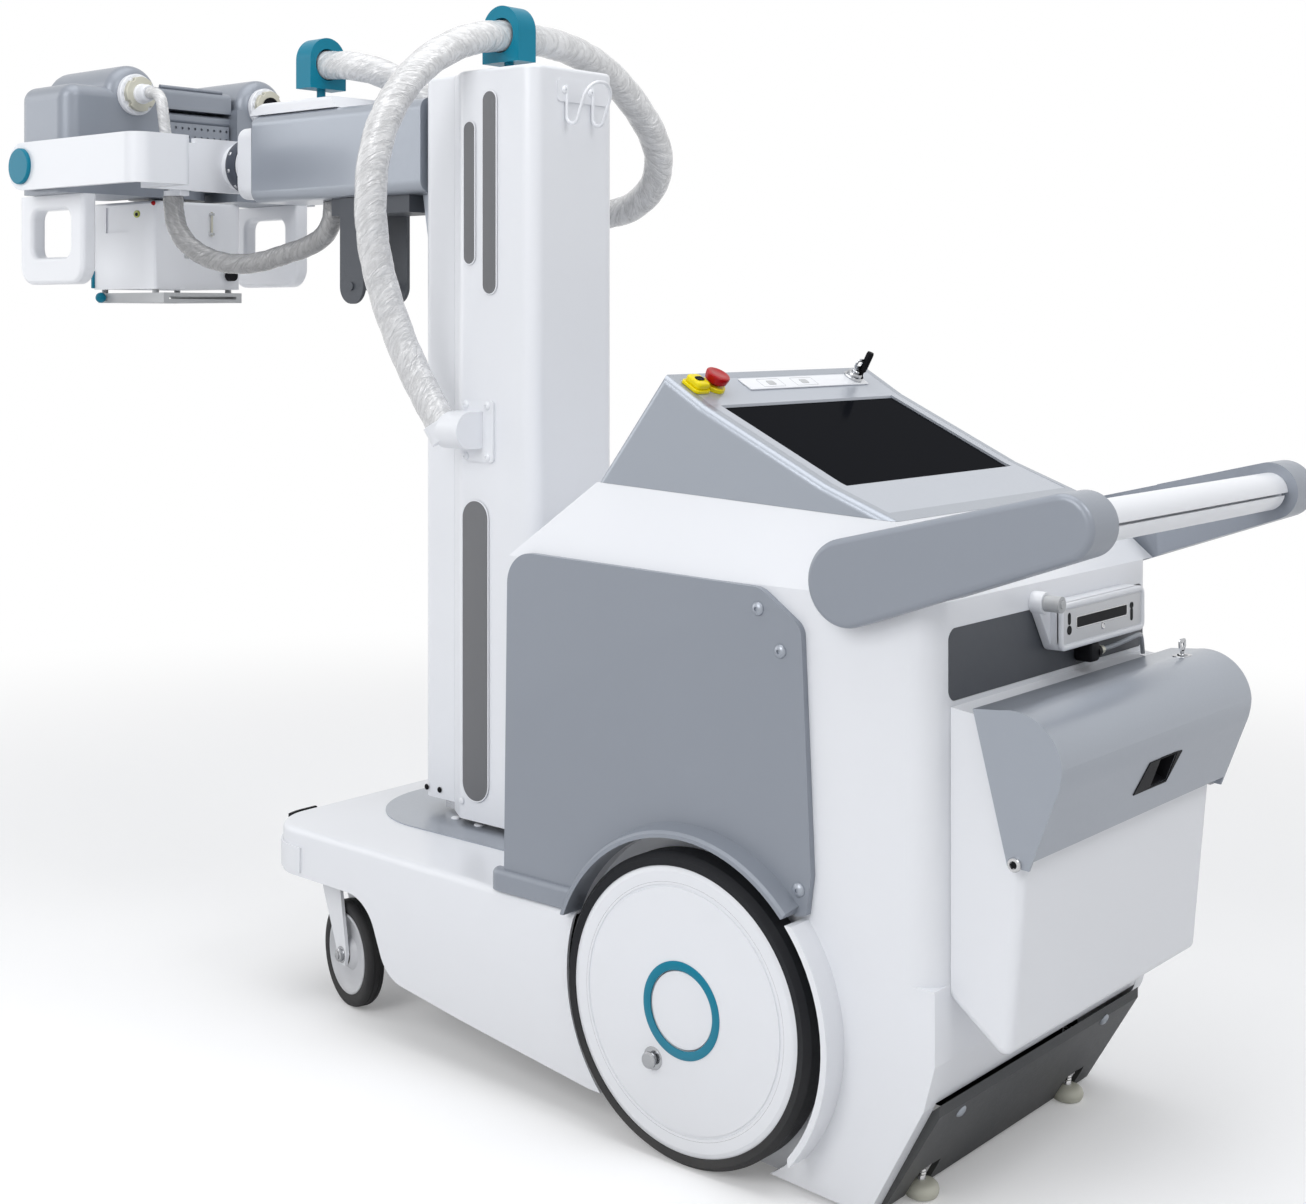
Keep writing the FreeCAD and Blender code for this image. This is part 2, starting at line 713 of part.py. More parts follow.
# Grey side panels with the flared front half of the wheel arch.
panel_line = [
    ("body_front", "body_low + 24"),
    ("body_front + 30", "body_low"),
    ("axle_x - 100", "body_low"),
    ("axle_x + 205", "tyre_radius + 176"),
    ("axle_x + 213", "body_low + 140"),
    ("axle_x + 196", "shoulder - 52"),
    ("axle_x + 123", "shoulder - 2"),
    ("body_front + 8", "shoulder + 10"),
]
panel_rounds = {0: "16", 5: "26", 6: "40", 7: "52"}
panel_flat = prism("panel_flat", "xz", panel_line, "panel_thick", (0, "-body_half - 0.3", 0), panel_rounds)
plinth_line = [
    ("body_front - plinth_nose", "-body_half - seat_gap"),
    ("body_front - plinth_nose", "-body_half - panel_thick - plinth_depth"),
    ("axle_x - 150", "-body_half - panel_thick - plinth_depth"),
    ("axle_x - 150", "-body_half - seat_gap"),
]
plinth_form = prism("plinth", "xy", plinth_line, "plinth_height", (0, 0, "body_low"), {1: "18"})
plinth_top = s.body_low + s.plinth_height
plinth = softened(
    "plinth_soft", plinth_form, 9,
    lambda edge: edge.ZMin > plinth_top - 0.01 and edge.YMax < -s.body_half - s.seat_gap - 0.01,
)
panel_arch = rod("panel_arch", "arch_radius", 120, ("axle_x", "-wheel_face - 40", "tyre_radius"), "y")
panel = cut("panel_left", fuse("panel_on_plinth", panel_flat, plinth), panel_arch)
lip_profile = [
    ("arch_radius", "-body_half - 0.3"),
    ("arch_radius + lip_width + 9", "-body_half - 0.3"),
    ("arch_radius + lip_width + 6", "-body_half - panel_thick"),
    ("arch_radius + lip_width", "-wheel_face + 4"),
    ("arch_radius + lip_width - 4", "-wheel_face"),
    ("arch_radius", "-wheel_face"),
]
lip_ring = turned("panel_lip_ring", lip_profile, hub_centre, "y")
lip_span = prism(
    "panel_lip_span", "xz",
    [("axle_x - 400", "body_low"), ("axle_x - 20", "body_low"), ("axle_x + 186", "tyre_radius + 175"),
     ("axle_x + 300", "tyre_radius + 420"), ("axle_x - 400", "tyre_radius + 420")],
    120, (0, "-body_half + 60", 0))
panel_lip = common("panel_lip", lip_ring, lip_span)
panel_left = fuse("panel_with_lip", panel, panel_lip)
node("side_panels", group("panels", panel_left, mirrored("panel_mirror", panel_left)))

# Console: a wedge with a folded top, its screen let into the middle facet.
top_line = [
    (s.console_front, s.crown_front + 0.3), (s.console_top_x, s.console_top),
    (s.screen_top_x, s.screen_top), (s.screen_low_x, s.screen_low), (s.console_rear, s.crown_rear + 0.3),
]
fascia_thick = 5
half = s.console_half
wedge = slab(top_line, "y", -half, half)
wedge = rounded(wedge, 12, lambda middle, way: abs(way.y) < 0.5 and middle.z > s.crown_front + 5)
inner_line = [
    (s.console_front + 12, s.crown_front - 4), (s.console_top_x, s.console_top - 14),
    (s.screen_top_x, s.screen_top - 22), (s.screen_low_x, s.screen_low - 22),
    (s.console_rear - 60, s.crown_rear - 4),
]
wedge = wedge.cut(slab(inner_line, "y", -half + 6, half - 6))
fascia_half = half - 24
fascia_top = [
    (s.console_top_x + 14, s.console_top - 8.4), (s.screen_top_x, s.screen_top),
    (s.screen_low_x, s.screen_low), (s.console_rear - 26, s.crown_rear + 9.3),
]
fascia_line = fascia_top + [(x, z - fascia_thick) for x, z in reversed(fascia_top)]
(first_x, first_z), (last_x, last_z) = fascia_top[0], fascia_top[3]
seat_top = [(first_x - 0.5, first_z)] + fascia_top[1:3] + [(last_x + 0.5, last_z)]
tall = [(x, z + 20) for x, z in seat_top] + [(x, z - fascia_thick - 0.6) for x, z in reversed(seat_top)]
wedge = wedge.cut(slab(tall, "y", -fascia_half - 0.5, fascia_half + 0.5))
fascia = slab(fascia_line, "y", -fascia_half, fascia_half)
slope = (s.screen_low - s.screen_top) / (s.screen_low_x - s.screen_top_x)


def on_screen(x, depth):
    """A point of the screen's facet, sunk by depth."""
    return (x, s.screen_top + slope * (x - s.screen_top_x) - depth)


window_line = [on_screen(s.screen_top_x + 3, -20), on_screen(s.screen_low_x + 12, -20),
               on_screen(s.screen_low_x + 12, 12), on_screen(s.screen_top_x + 3, 12)]
window = slab(window_line, "y", -s.screen_half, s.screen_half)
glass_line = [on_screen(s.screen_top_x + 4, 4), on_screen(s.screen_low_x + 11, 4),
              on_screen(s.screen_low_x + 11, 11), on_screen(s.screen_top_x + 4, 11)]
glass = slab(glass_line, "y", -s.screen_half + 1, s.screen_half - 1)
seat_line = [on_screen(s.screen_top_x + 2, -2), on_screen(s.screen_low_x + 13, -2),
             on_screen(s.screen_low_x + 13, 11.3), on_screen(s.screen_top_x + 2, 11.3)]
wedge = wedge.cut(slab(seat_line, "y", -s.screen_half - 2, s.screen_half + 2))
node("console_housing", carved("console", wedge))
node("console_fascia", carved("fascia", fascia.cut(window)))
node("touch_screen", carved("screen", glass))

# Switch row on the console's top facet. Its own frame: x down the slope, z straight out.
facet_angle = math.degrees(math.atan2(s.console_top - s.screen_top, s.screen_top_x - s.console_top_x))
facet_turn = Rotation(Vector(0, 1, 0), facet_angle)


def on_facet(x, y, lift=0.0):
    """The placement of something that stands on the top facet at x, y."""
    drop = (x - s.console_top_x) * math.tan(math.radians(facet_angle))
    point = Vector(x, y, s.console_top - drop)
    return Placement(point + facet_turn.multVec(Vector(0, 0, lift)), facet_turn)


estop_at = on_facet(560, -207, s.seat_gap)
key_at = on_facet(554, 191, s.seat_gap)
strip_at = on_facet(558, 0, s.seat_gap)
key_hole = drum(17.3, (0, 0, -5), (0, 0, 1), 10)
key_hole.Placement = key_at
strip_plate = block(-16, 16, -122, 216, 0, 2.2)
strip_plate.Placement = strip_at
strip_plate = strip_plate.cut(key_hole)
ring_base = drum(19, (0, 0, 0), (0, 0, 1), 7).cut(drum(8.05, (0, 0, -1), (0, 0, 1), 9))
ring_base.Placement = estop_at
alarm = rounded(block(-19, 19, -18, 18, 0, 18), 7, lambda middle, way: abs(way.z) > 0.9)
alarm = alarm.cut(block(-8, 8, -9, 9, 16, 20))
alarm.Placement = on_facet(559, -248, s.seat_gap)
key_seat = drum(17, (0, 0, 0), (0, 0, 1), 14).cut(drum(7.05, (0, 0, 4), (0, 0, 1), 12))
key_seat.Placement = key_at
node("switch_plate", carved("switch_row", Part.makeCompound([strip_plate, ring_base, alarm, key_seat])))
mushroom = drum(8, (0, 0, 5), (0, 0, 1), 8).fuse(drum(19.5, (0, 0, 12), (0, 0, 1), 15))
mushroom = mushroom.makeFillet(5, [edge for edge in mushroom.Edges if abs(edge.BoundBox.ZMin - 27) < 0.01])
mushroom.Placement = estop_at
node("estop_button", carved("mushroom", mushroom.removeSplitter()))
key = drum(7, (0, 0, 4.3), (0, 0, 1), 14).fuse(block(-1.2, 1.2, -12, 12, 17, 38))
key = key.fuse(drum(4, (0, 0, 34), (0, 0, 1), 26))
key.Placement = key_at
node("switch_key", carved("key", key.removeSplitter()))

# Push handle: two arms that taper from the body to the bar, each bolted to a boss.
span_x = s.handle_x - s.handle_front_x
span_z = s.handle_z - s.handle_front_z
span = math.hypot(span_x, span_z)
along = math.atan2(span_z, span_x)
spread = math.acos((s.handle_front_radius - s.handle_rear_radius) / span)


def tangent(x, z, radius, turn):
    return (x + radius * math.cos(along + turn), z + radius * math.sin(along + turn))


arm_sides = [
    tangent(s.handle_front_x, s.handle_front_z, s.handle_front_radius, spread),
    tangent(s.handle_x, s.handle_z, s.handle_rear_radius, spread),
    tangent(s.handle_x, s.handle_z, s.handle_rear_radius, -spread),
    tangent(s.handle_front_x, s.handle_front_z, s.handle_front_radius, -spread),
]


def arm_form(y, thick):
    """The arm's outline, two round ends joined by their tangents, carried across thick."""
    form = slab(arm_sides, "y", y, y + thick)
    form = form.fuse(drum(s.handle_front_radius, (s.handle_front_x, y, s.handle_front_z), (0, 1, 0), thick))
    form = form.fuse(drum(s.handle_rear_radius, (s.handle_x, y, s.handle_z), (0, 1, 0), thick))
    return form.removeSplitter()


arm_plate = arm_form(-s.handle_face, s.handle_thick)
outer_rim = [edge for edge in arm_plate.Edges if abs(edge.BoundBox.YMax + s.handle_face) < 0.01]
arm_plate = arm_plate.makeFillet(9, outer_rim)
inner_part = arm_form(-s.handle_face + s.handle_thick - 1, s.handle_boss)
inner_part = inner_part.common(block(s.body_rear + 24, FAR, -FAR, 0, 0, FAR))
handle_arm = arm_plate.fuse(inner_part).removeSplitter()
node("handle_arms", carved("handle_pair", both_sides(handle_arm)))

# Bar: a tube whose lower half is a pressure strip that lifts when squeezed.
bar_at = (s.handle_x, -s.bar_half, s.handle_z)
bar_tube = drum(s.bar_radius, bar_at, (0, 1, 0), 2 * s.bar_half)
lower_half = block(0, FAR, -FAR, FAR, 0, s.handle_z)
core = drum(19, bar_at, (0, 1, 0), 2 * s.bar_half)
bar = bar_tube.cut(lower_half).fuse(core)
guide_radius = 3
guide_spots = [(s.handle_x, y) for y in (-180, 0, 180)]
for x, y in guide_spots:
    bar = bar.cut(drum(guide_radius + s.running_gap, (x, y, s.handle_z - 22), (0, 0, 1), 17))
bar = bar.removeSplitter()
node("handle_bar", carved("bar", bar))
strip_from = (s.handle_x, -s.bar_half + 12, s.handle_z)
strip_long = 2 * s.bar_half - 24
strip = drum(s.bar_radius, strip_from, (0, 1, 0), strip_long)
strip = strip.cut(drum(s.bar_radius - 5, strip_from, (0, 1, 0), strip_long))
strip = strip.cut(block(0, FAR, -FAR, FAR, s.handle_z - 4, FAR))
for x, y in guide_spots:
    strip = strip.fuse(drum(guide_radius, (x, y, s.handle_z - 25), (0, 0, 1), 15))
strip = strip.removeSplitter()
node("deadman_strip", carved("strip", strip))

# Rear strip and the socket box with its hand switch.
node("rear_panel", carved("strip_plate", strip_form(0.5, s.body_rear - 2.7, s.body_rear - 0.3)))
face_x = s.body_rear + s.seat_gap
housing = block(face_x, face_x + 26, -38, 236, s.socket_low, s.socket_high)
housing = rounded(housing, 8, lambda middle, way: abs(way.x) > 0.9)
slot_face = block(face_x + 22, face_x + 30, 20, 178, s.socket_low + 24, s.socket_high - 12)
housing = housing.cut(slot_face)
grip_y = -60
grip_z = s.socket_high + 16
cradle = drum(s.grip_radius + 4, (face_x, grip_y, grip_z), (1, 0, 0), 20)
web_line = [
    (grip_y - 10, grip_z - 12), (grip_y + 10, grip_z - 14), (-20, s.socket_high - 8),
    (-20, s.socket_low + 6), (-36, s.socket_low + 6),
]
web = slab(web_line, "x", face_x, face_x + 14)
housing = housing.multiFuse([cradle, web])
housing = housing.cut(drum(s.grip_radius + 0.3, (face_x + 3, grip_y, grip_z), (1, 0, 0), 40))
gland_y = 118
gland_z = s.socket_low - 17
port = block(face_x, face_x + 30, 62, 92, s.socket_low - 30, s.socket_low - 0.5)
gland = drum(7, (face_x + 20, 91, gland_z), (0, 1, 0), gland_y - 91 - 0.3)
port = port.fuse(gland)
node("socket_box", carved("sockets", Part.makeCompound([housing.removeSplitter(), port.removeSplitter()])))
handset = drum(s.grip_radius, (face_x + 3.3, grip_y, grip_z), (1, 0, 0), 42)
handset = handset.cut(drum(6.3, (face_x + 36, grip_y, grip_z), (1, 0, 0), 12))
node("hand_switch", carved("handset", handset))
node("hand_switch_button", carved("trigger", drum(6, (face_x + 40.3, grip_y, grip_z), (1, 0, 0), 8)))

# Detector bin: a wedge-shaped trough below a hinged lid.
bin_outer = [
    (face_x, s.bin_heel), (s.bin_low_x, s.bin_low), (s.lid_pivot_x - 6, s.lid_pivot_z - 8),
    (s.lid_top_x - 8, s.lid_top - 6), (face_x, s.lid_top - 2),
]
bin_inner = [
    (face_x + 5, s.bin_heel + 4), (s.bin_low_x - 5, s.bin_low + 8), (s.lid_pivot_x - 12, s.lid_pivot_z - 12),
    (s.lid_pivot_x + 40, s.lid_pivot_z + 40), (s.lid_top_x + 40, s.lid_top + 60),
    (s.lid_top_x - 14, s.lid_top - 12), (face_x + 5, s.lid_top - 8),
]
bin_wall = 7
bin_body = slab(bin_outer, "y", -s.bin_half, s.bin_half)
bin_body = rounded(
    bin_body, 14, lambda middle, way: middle.x > face_x + 1 and middle.z < s.lid_pivot_z - 9)
bin_body = bin_body.cut(slab(bin_inner, "y", -s.bin_half + bin_wall, s.bin_half - bin_wall))
cord_hole = (s.lid_top_x - 24, 252)
bin_body = bin_body.cut(drum(4.2, (cord_hole[0], cord_hole[1], s.lid_top - 30), (0, 0, 1), 60))
pivots = [
    drum(5, (s.lid_pivot_x - 14, y, s.lid_pivot_z - 10), (0, 1, 0), 15.5)
    for y in (-s.bin_half - 15, s.bin_half - 0.5)
]
bin_body = bin_body.multiFuse(pivots).removeSplitter()
node("detector_bin", carved("bin", bin_body))

# Bin lid: a D-shaped curved cover with end plates, pivoted at its lower corners.


def lid_outline(inset):
    """The lid's closed side outline: flat back, level top, one large arc and a straight front."""
    top_flat = Vector(s.lid_top_x + 42, 0, s.lid_top + 8 - inset)
    arc_mid = Vector(s.lid_top_x + 106 - inset * 0.7, 0, s.lid_top - 9 - inset * 0.7)
    arc_end = Vector(s.lid_pivot_x + 54 - inset, 0, s.lid_top - 59)
    bulge_mid = Vector(s.lid_pivot_x + 51 - inset, 0, s.lid_top - 81)
    low_front = Vector(s.lid_pivot_x + 44 - inset, 0, s.lid_top - 101)
    toe = Vector(s.lid_pivot_x + 6 - inset, 0, s.lid_pivot_z - 16 + inset)
    heel = Vector(s.lid_pivot_x - 26 + inset * 2, 0, s.lid_pivot_z - 14 + inset)
    back = Vector(s.lid_top_x - 2 + inset, 0, s.lid_top + 4 - inset)
    edges = [
        Part.makeLine(back, top_flat), Part.Arc(top_flat, arc_mid, arc_end).toShape(),
        Part.Arc(arc_end, bulge_mid, low_front).toShape(),
        Part.makeLine(low_front, toe), Part.makeLine(toe, heel), Part.makeLine(heel, back),
    ]
    return Part.Face(Part.Wire(edges))


lid_form = lid_outline(0)
lid_form.translate(Vector(0, -s.lid_half, 0))
lid_solid = lid_form.extrude(Vector(0, 2 * s.lid_half, 0))
room = lid_outline(s.lid_skin)
room.translate(Vector(0, -s.lid_half + 4, 0))
lid_solid = lid_solid.cut(room.extrude(Vector(0, 2 * s.lid_half - 8, 0)))
back_line = [
    (s.lid_pivot_x - 40, s.lid_pivot_z - 30), (s.lid_pivot_x + 4, s.lid_pivot_z - 8),
    (s.lid_top_x + 8, s.lid_top - 4), (s.lid_top_x - 60, s.lid_top - 4),
]
end_plate = 4
lid_solid = lid_solid.cut(slab(back_line, "y", -s.lid_half + end_plate, s.lid_half - end_plate))
below = block(s.body_rear, FAR, -s.lid_half + end_plate, s.lid_half - end_plate, 0, s.lid_pivot_z - 3)
pull = block(s.lid_pivot_x - 5, FAR, 5, 61, s.lid_pivot_z + 40, s.lid_pivot_z + 85)
lid_solid = lid_solid.cut(below).cut(pull)
for y in (-s.lid_half - 1, s.lid_half - 8):
    lid_solid = lid_solid.cut(drum(5.05, (s.lid_pivot_x - 14, y, s.lid_pivot_z - 10), (0, 1, 0), 9))
lock_y = 225
lock_x = s.lid_top_x + 54
lock_top = s.lid_top + 11
lid_solid = lid_solid.cut(drum(9.05, (lock_x, lock_y, lock_top - 34), (0, 0, 1), 60))
node("bin_lid", carved("lid", lid_solid))
bow = block(lock_x - 1.2, lock_x + 1.2, lock_y - 11, lock_y + 11, lock_top - 1, lock_top + 26)
lock_key = drum(9, (lock_x, lock_y, lock_top - 22), (0, 0, 1), 22).fuse(bow)
node("lid_key", carved("lock", lock_key.removeSplitter()))

# Kick plate that closes the body's heel between the skirts.
kick_half = s.body_half - 30 - s.seat_gap
kick_line = [(934, 11), (940, 8), (1030, 160), (1030, 176), (1018, 166)]
kick = slab(kick_line, "y", -kick_half, kick_half)
for sign in (-1, 1):
    kick = kick.cut(drum(s.foot_radius + 3, (s.foot_x, sign * s.foot_y, -5), (0, 0, 1), 53))
    kick = kick.cut(drum(16, (s.foot_x, sign * s.foot_y, 40), (0, 0, 1), 60))
node("kick_plate", carved("kick", kick))

# Parking feet: rubber domes on screws that pass up into the frame.
feet = []
for sign in (-1, 1):
    at = (s.foot_x, sign * s.foot_y, 0)
    dome = Part.makeCone(s.foot_radius, 14, 20, Vector(*at))
    screw = drum(8, (at[0], at[1], 18), (0, 0, 1), 110)
    nut = drum(13, (at[0], at[1], 44), (0, 0, 1), 10)
    feet.append(dome.multiFuse([screw, nut]).removeSplitter())
node("parking_feet", carved("feet", Part.makeCompound(feet)))


def rear_cover_line(inset):
    """The rear cover's outline from above: broad at the rear, it narrows to the seam with the front cover."""
    rear = s.column_x + s.column_rear - inset
    broad = s.column_half - inset
    narrow = s.column_neck - inset
    start = s.column_x - 36
    end = s.column_x - 84
    return [(rear, -broad), (rear, broad), (start, broad), (end, narrow), (end, -narrow), (start, -broad)]


# Column: an upright mast on the turntable, with a rear and a front cover.
seam = s.column_x - 84
mast_low = s.column_low - 8 + s.turn_gap
mast_foot = drum(s.pedestal_radius - 2, (s.column_x, 0, mast_low), (0, 0, 1), 6)
flange_y = 60
web_x = s.column_x + 88
mast_top = s.column_top - 14
mast = block(web_x - 10, web_x, -flange_y - 8, flange_y + 8, mast_low + 5, mast_top)
cheeks = [
    block(s.column_x - 120, web_x, y, y + 8, mast_low + 5, mast_top)
    for y in (-flange_y - 8, flange_y)
]
mast = mast.multiFuse(cheeks + [mast_foot]).removeSplitter()
node("column_mast", carved("mast", mast))

corner_round = 28


def at_rear(middle, way):
    return abs(way.z) > 0.9 and middle.x > s.column_x + 100


def at_shoulder(middle, way):
    return abs(way.z) > 0.9 and abs(middle.x - s.column_x + 36) < 1


rear_cover = slab(rear_cover_line(0), "z", s.column_low, s.column_top)
rear_cover = rounded(rear_cover, corner_round, at_rear)
rear_cover = rounded(rear_cover, 30, at_shoulder)
rear_cover = rear_cover.makeFillet(8, [
    edge for edge in rear_cover.Edges
    if edge.BoundBox.ZMin > s.column_top - 0.01 and edge.BoundBox.XMax > seam + 1])
void = slab(rear_cover_line(s.skin), "z", s.column_low - 5, s.column_top - s.skin)
void = rounded(void, corner_round - s.skin, at_rear)
neck_half = s.column_neck - s.skin
neck_room = block(seam - 10, seam + 20, -neck_half, neck_half, s.column_low - 5, s.column_top - s.skin)
rear_cover = rear_cover.cut(void.fuse(neck_room))


def groove(x0, x1, z0, z1, side_y):
    """A shallow round-ended groove in the cover's side."""
    radius = (x1 - x0) / 2
    middle = (x0 + x1) / 2
    form = block(x0, x1, side_y - 1.5, side_y + 1.5, z0 + radius, z1 - radius)
    for z in (z0 + radius, z1 - radius):
        form = form.fuse(drum(radius, (middle, side_y - 1.5, z), (0, 1, 0), 3))
    return form


for side_y in (-s.column_half, s.column_half):
    rear_cover = rear_cover.cut(groove(-43, -9, 1295, 1662, side_y))
    rear_cover = rear_cover.cut(groove(-95, -30, 371, 918, side_y))
node("column_rear_cover", carved("rear_cover", rear_cover))
front_x = s.column_x - s.column_front
front_cover = block(front_x, seam - 0.3, -s.column_neck, s.column_neck, s.column_low + 15, s.column_top)
front_round = 22


def at_front(middle, way):
    return abs(way.z) > 0.9 and middle.x < front_x + s.skin + 1


front_cover = rounded(front_cover, front_round, at_front)
front_cover = front_cover.makeFillet(8, [
    edge for edge in front_cover.Edges
    if edge.BoundBox.ZMin > s.column_top - 0.01 and edge.BoundBox.XMin < seam - 1])
front_room = block(front_x + s.skin, seam + 5, -neck_half, neck_half, s.column_low, s.column_top - s.skin)
front_cover = front_cover.cut(rounded(front_room, front_round - s.skin, at_front))
slot_half = 42
front_cover = front_cover.cut(block(front_x - 5, front_x + 10, -slot_half, slot_half, 395, s.column_top - 22))
node("column_front_cover", carved("front_cover", front_cover))

# Counterweight that rises behind the mast as the arm comes down.
node("counterweight", box("weight", 32, 160, 340, (web_x + s.seat_gap, -80, 372)))

# Carriage inside the mast, its neck through the slot, and the gusset under the arm's root.
carriage = block(s.column_x - 100, web_x - 30, -flange_y + 8, flange_y - 8, s.arm_low - 60, s.arm_high)
root_x = s.column_x - s.arm_root
root_seat = root_x + s.seat_gap
neck = block(root_seat, s.column_x - 90, -slot_half + 6, slot_half - 6, s.arm_low - 40, s.arm_high - 8)
carriage = carriage.fuse(neck)
for z in (s.arm_low - 30, s.arm_high - 30):
    roller_at = (s.column_x - 30, -flange_y + 0.3, z)
    carriage = carriage.fuse(drum(16, roller_at, (0, 1, 0), 2 * flange_y - 0.6))
gusset_line = [
    (root_seat, s.arm_low - s.seat_gap), (root_x - 42, s.arm_low - s.seat_gap),
    (root_x - 12, s.arm_low - 178), (root_seat, s.arm_low - 186),
]
gusset = slab(gusset_line, "y", -34, 34)
pad = block(root_seat, root_x + 4, -34, 34, s.arm_low - 186, s.arm_low - 30)
carriage = carriage.multiFuse([gusset, pad]).removeSplitter()
node("arm_carriage", carved("carriage", carriage))

# Arm: a hollow beam, its top cover, the end flange and the parking latch's cheeks.
tip_x = s.column_x - s.arm_tip
beam_round = 24
beam_wall = 6


def lengthwise(middle, way):
    return abs(way.x) > 0.9


beam = block(tip_x, root_x, -s.arm_half, s.arm_half, s.arm_low, s.arm_high)
beam = rounded(beam, beam_round, lengthwise)
beam = beam.makeFillet(10, [edge for edge in beam.Edges if abs(edge.BoundBox.XMax - tip_x) < 0.01])
room_half = s.arm_half - beam_wall
beam_room = block(
    tip_x + 12, root_x - 8, -room_half, room_half, s.arm_low + beam_wall, s.arm_high - beam_wall)
beam = beam.cut(rounded(beam_room, beam_round - beam_wall, lengthwise))
node("arm_box", carved("beam", beam))
cover_line = [
    (tip_x - 12, s.arm_high + s.seat_gap), (s.arm_clamp_x + 128, s.arm_high + s.seat_gap),
    (s.arm_clamp_x + 114, s.arm_high + 24), (tip_x + 30, s.arm_high + 24), (tip_x - 2, s.arm_high + 10),
]
top_cover = slab(cover_line, "y", -s.arm_half + 10, s.arm_half - 10)
top_cover = rounded(top_cover, 7, lambda middle, way: abs(way.y) < 0.5 and middle.z > s.arm_high + 20)
top_cover = top_cover.cut(drum(9.05, (s.arm_clamp_x, 0, s.arm_high + 8), (0, 0, 1), 30))
node("arm_top_cover", carved("top_cover", top_cover))
flange_x = tip_x - s.seat_gap
flange_low = s.arm_axis - s.flange_half
flange_high = s.arm_axis + s.flange_half
plate = block(flange_x - 44, flange_x, -s.flange_half, s.flange_half, flange_low, flange_high)
plate = rounded(plate, 26, lambda middle, way: abs(way.x) > 0.9)
spigot = drum(s.spigot_radius, (flange_x - 80, 0, s.arm_axis), (1, 0, 0), 40)
journal_end = s.yoke_plate_x - s.yoke_wall + 2
journal_radius = 30
journal = drum(journal_radius, (journal_end, 0, s.arm_axis), (1, 0, 0), flange_x - 60 - journal_end)
flange = plate.multiFuse([spigot, journal]).removeSplitter()
node("arm_flange", carved("flange", flange))
latch_block = block(-535, -305, -54, 54, s.arm_low - 34, s.arm_low - 0.3)
cheek = block(-500, -430, -62, -54, s.arm_low - 176, s.arm_low - 0.3)
cheek = cheek.fuse(drum(35, (-465, -62, s.arm_low - 176), (0, 1, 0), 8))
cheek_far = cheek.mirror(Vector(0, 0, 0), Vector(0, 1, 0))
cross_pin = drum(8, (-465, -66, s.arm_low - 176), (0, 1, 0), 132)
latch = latch_block.multiFuse([cheek, cheek_far, cross_pin]).removeSplitter()
latch = latch.cut(drum(s.head_sleeve_radius + 3, (-592, 0, s.arm_low - 60), (0, 0, 1), 80))
node("parking_latch", carved("latch", latch))


def clamp(across, at, pin_low):
    """An arch-topped block with a bore for the sleeve, on a swivel pin."""
    x, y, z = at
    half, deep = s.clamp_half, s.clamp_depth / 2
    low = z - 50
    if across == "y":
        form = block(x - half, x + half, y - deep, y + deep, low, z + 8)
        form = form.fuse(drum(half, (x, y - deep, z + 8), (0, 1, 0), 2 * deep))
        form = form.cut(drum(s.clamp_bore, (x, y - deep - 1, z), (0, 1, 0), 2 * deep + 2))
    else:
        form = block(x - deep, x + deep, y - half, y + half, low, z + 8)
        form = form.fuse(drum(half, (x - deep, y, z + 8), (1, 0, 0), 2 * deep))
        form = form.cut(drum(s.clamp_bore, (x - deep + 8, y, z), (1, 0, 0), 2 * deep))
    return form.fuse(drum(9, (x, y, pin_low), (0, 0, 1), low - pin_low + 2)).removeSplitter()


column_pin = drum(9.05, (s.column_clamp_x, s.column_clamp_y, s.column_top - 30), (0, 0, 1), 40)
rear_cover_node = [item for item in nodes if item.Label == "column_rear_cover"][0]
rear_cover_node.Shape = rear_cover_node.Shape.cut(column_pin)
column_clamp_at = (s.column_clamp_x, s.column_clamp_y, s.column_clamp_z)
node("column_clamp", carved("column_clamp_block", clamp("y", column_clamp_at, s.column_top - 13.7)))
arm_clamp_at = (s.arm_clamp_x, 0, s.arm_clamp_z)
node("arm_clamp", carved("arm_clamp_block", clamp("x", arm_clamp_at, s.arm_high + 8.3)))

# Cable boss on the column's left side.
boss_y = -s.column_half - 0.3
boss_plate = block(-94, -14, boss_y - 5, boss_y, 990, 1102)
boss_plate = rounded(boss_plate, 7, lambda middle, way: abs(way.y) > 0.9)
snout = block(-100, -40, -150, boss_y - 2, 1015, 1082).fuse(drum(33.5, (-100, -150, 1048.5), (1, 0, 0), 60))
sleeve_start = Vector(-104, -150, 1046)
sleeve_next = Vector(-136, -168, 1108)
sleeve_way = (sleeve_next - sleeve_start).normalize()
collar = drum(33.5, sleeve_start - sleeve_way * 14, sleeve_way, 34)
snout = snout.fuse(collar)
snout = snout.cut(drum(s.sleeve_radius + 0.3, sleeve_start - sleeve_way * s.seat_gap, sleeve_way, 90))
cable_boss = boss_plate.fuse(snout).removeSplitter()
node("cable_boss", carved("boss", cable_boss))

# Cable hooks on the column's rear face: a plate and one wire bent into two hooks and a cross bar.
rear_x = s.column_x + s.column_rear + 0.3
hook_plate = block(rear_x, rear_x + 2.5, -48, 90, 1642, 1682)
hook_plate = rounded(hook_plate, 6, lambda middle, way: abs(way.x) > 0.9)
hook_y = (-27, 43)
hook_wire_radius = 3.2
hook_run = [(4, 1672), (4, 1606), (26, 1600), (56, 1676)]
hook_points = [(rear_x + out, hook_y[0], z) for out, z in hook_run]
hook_points += [(rear_x + out, hook_y[1], z) for out, z in reversed(hook_run)]


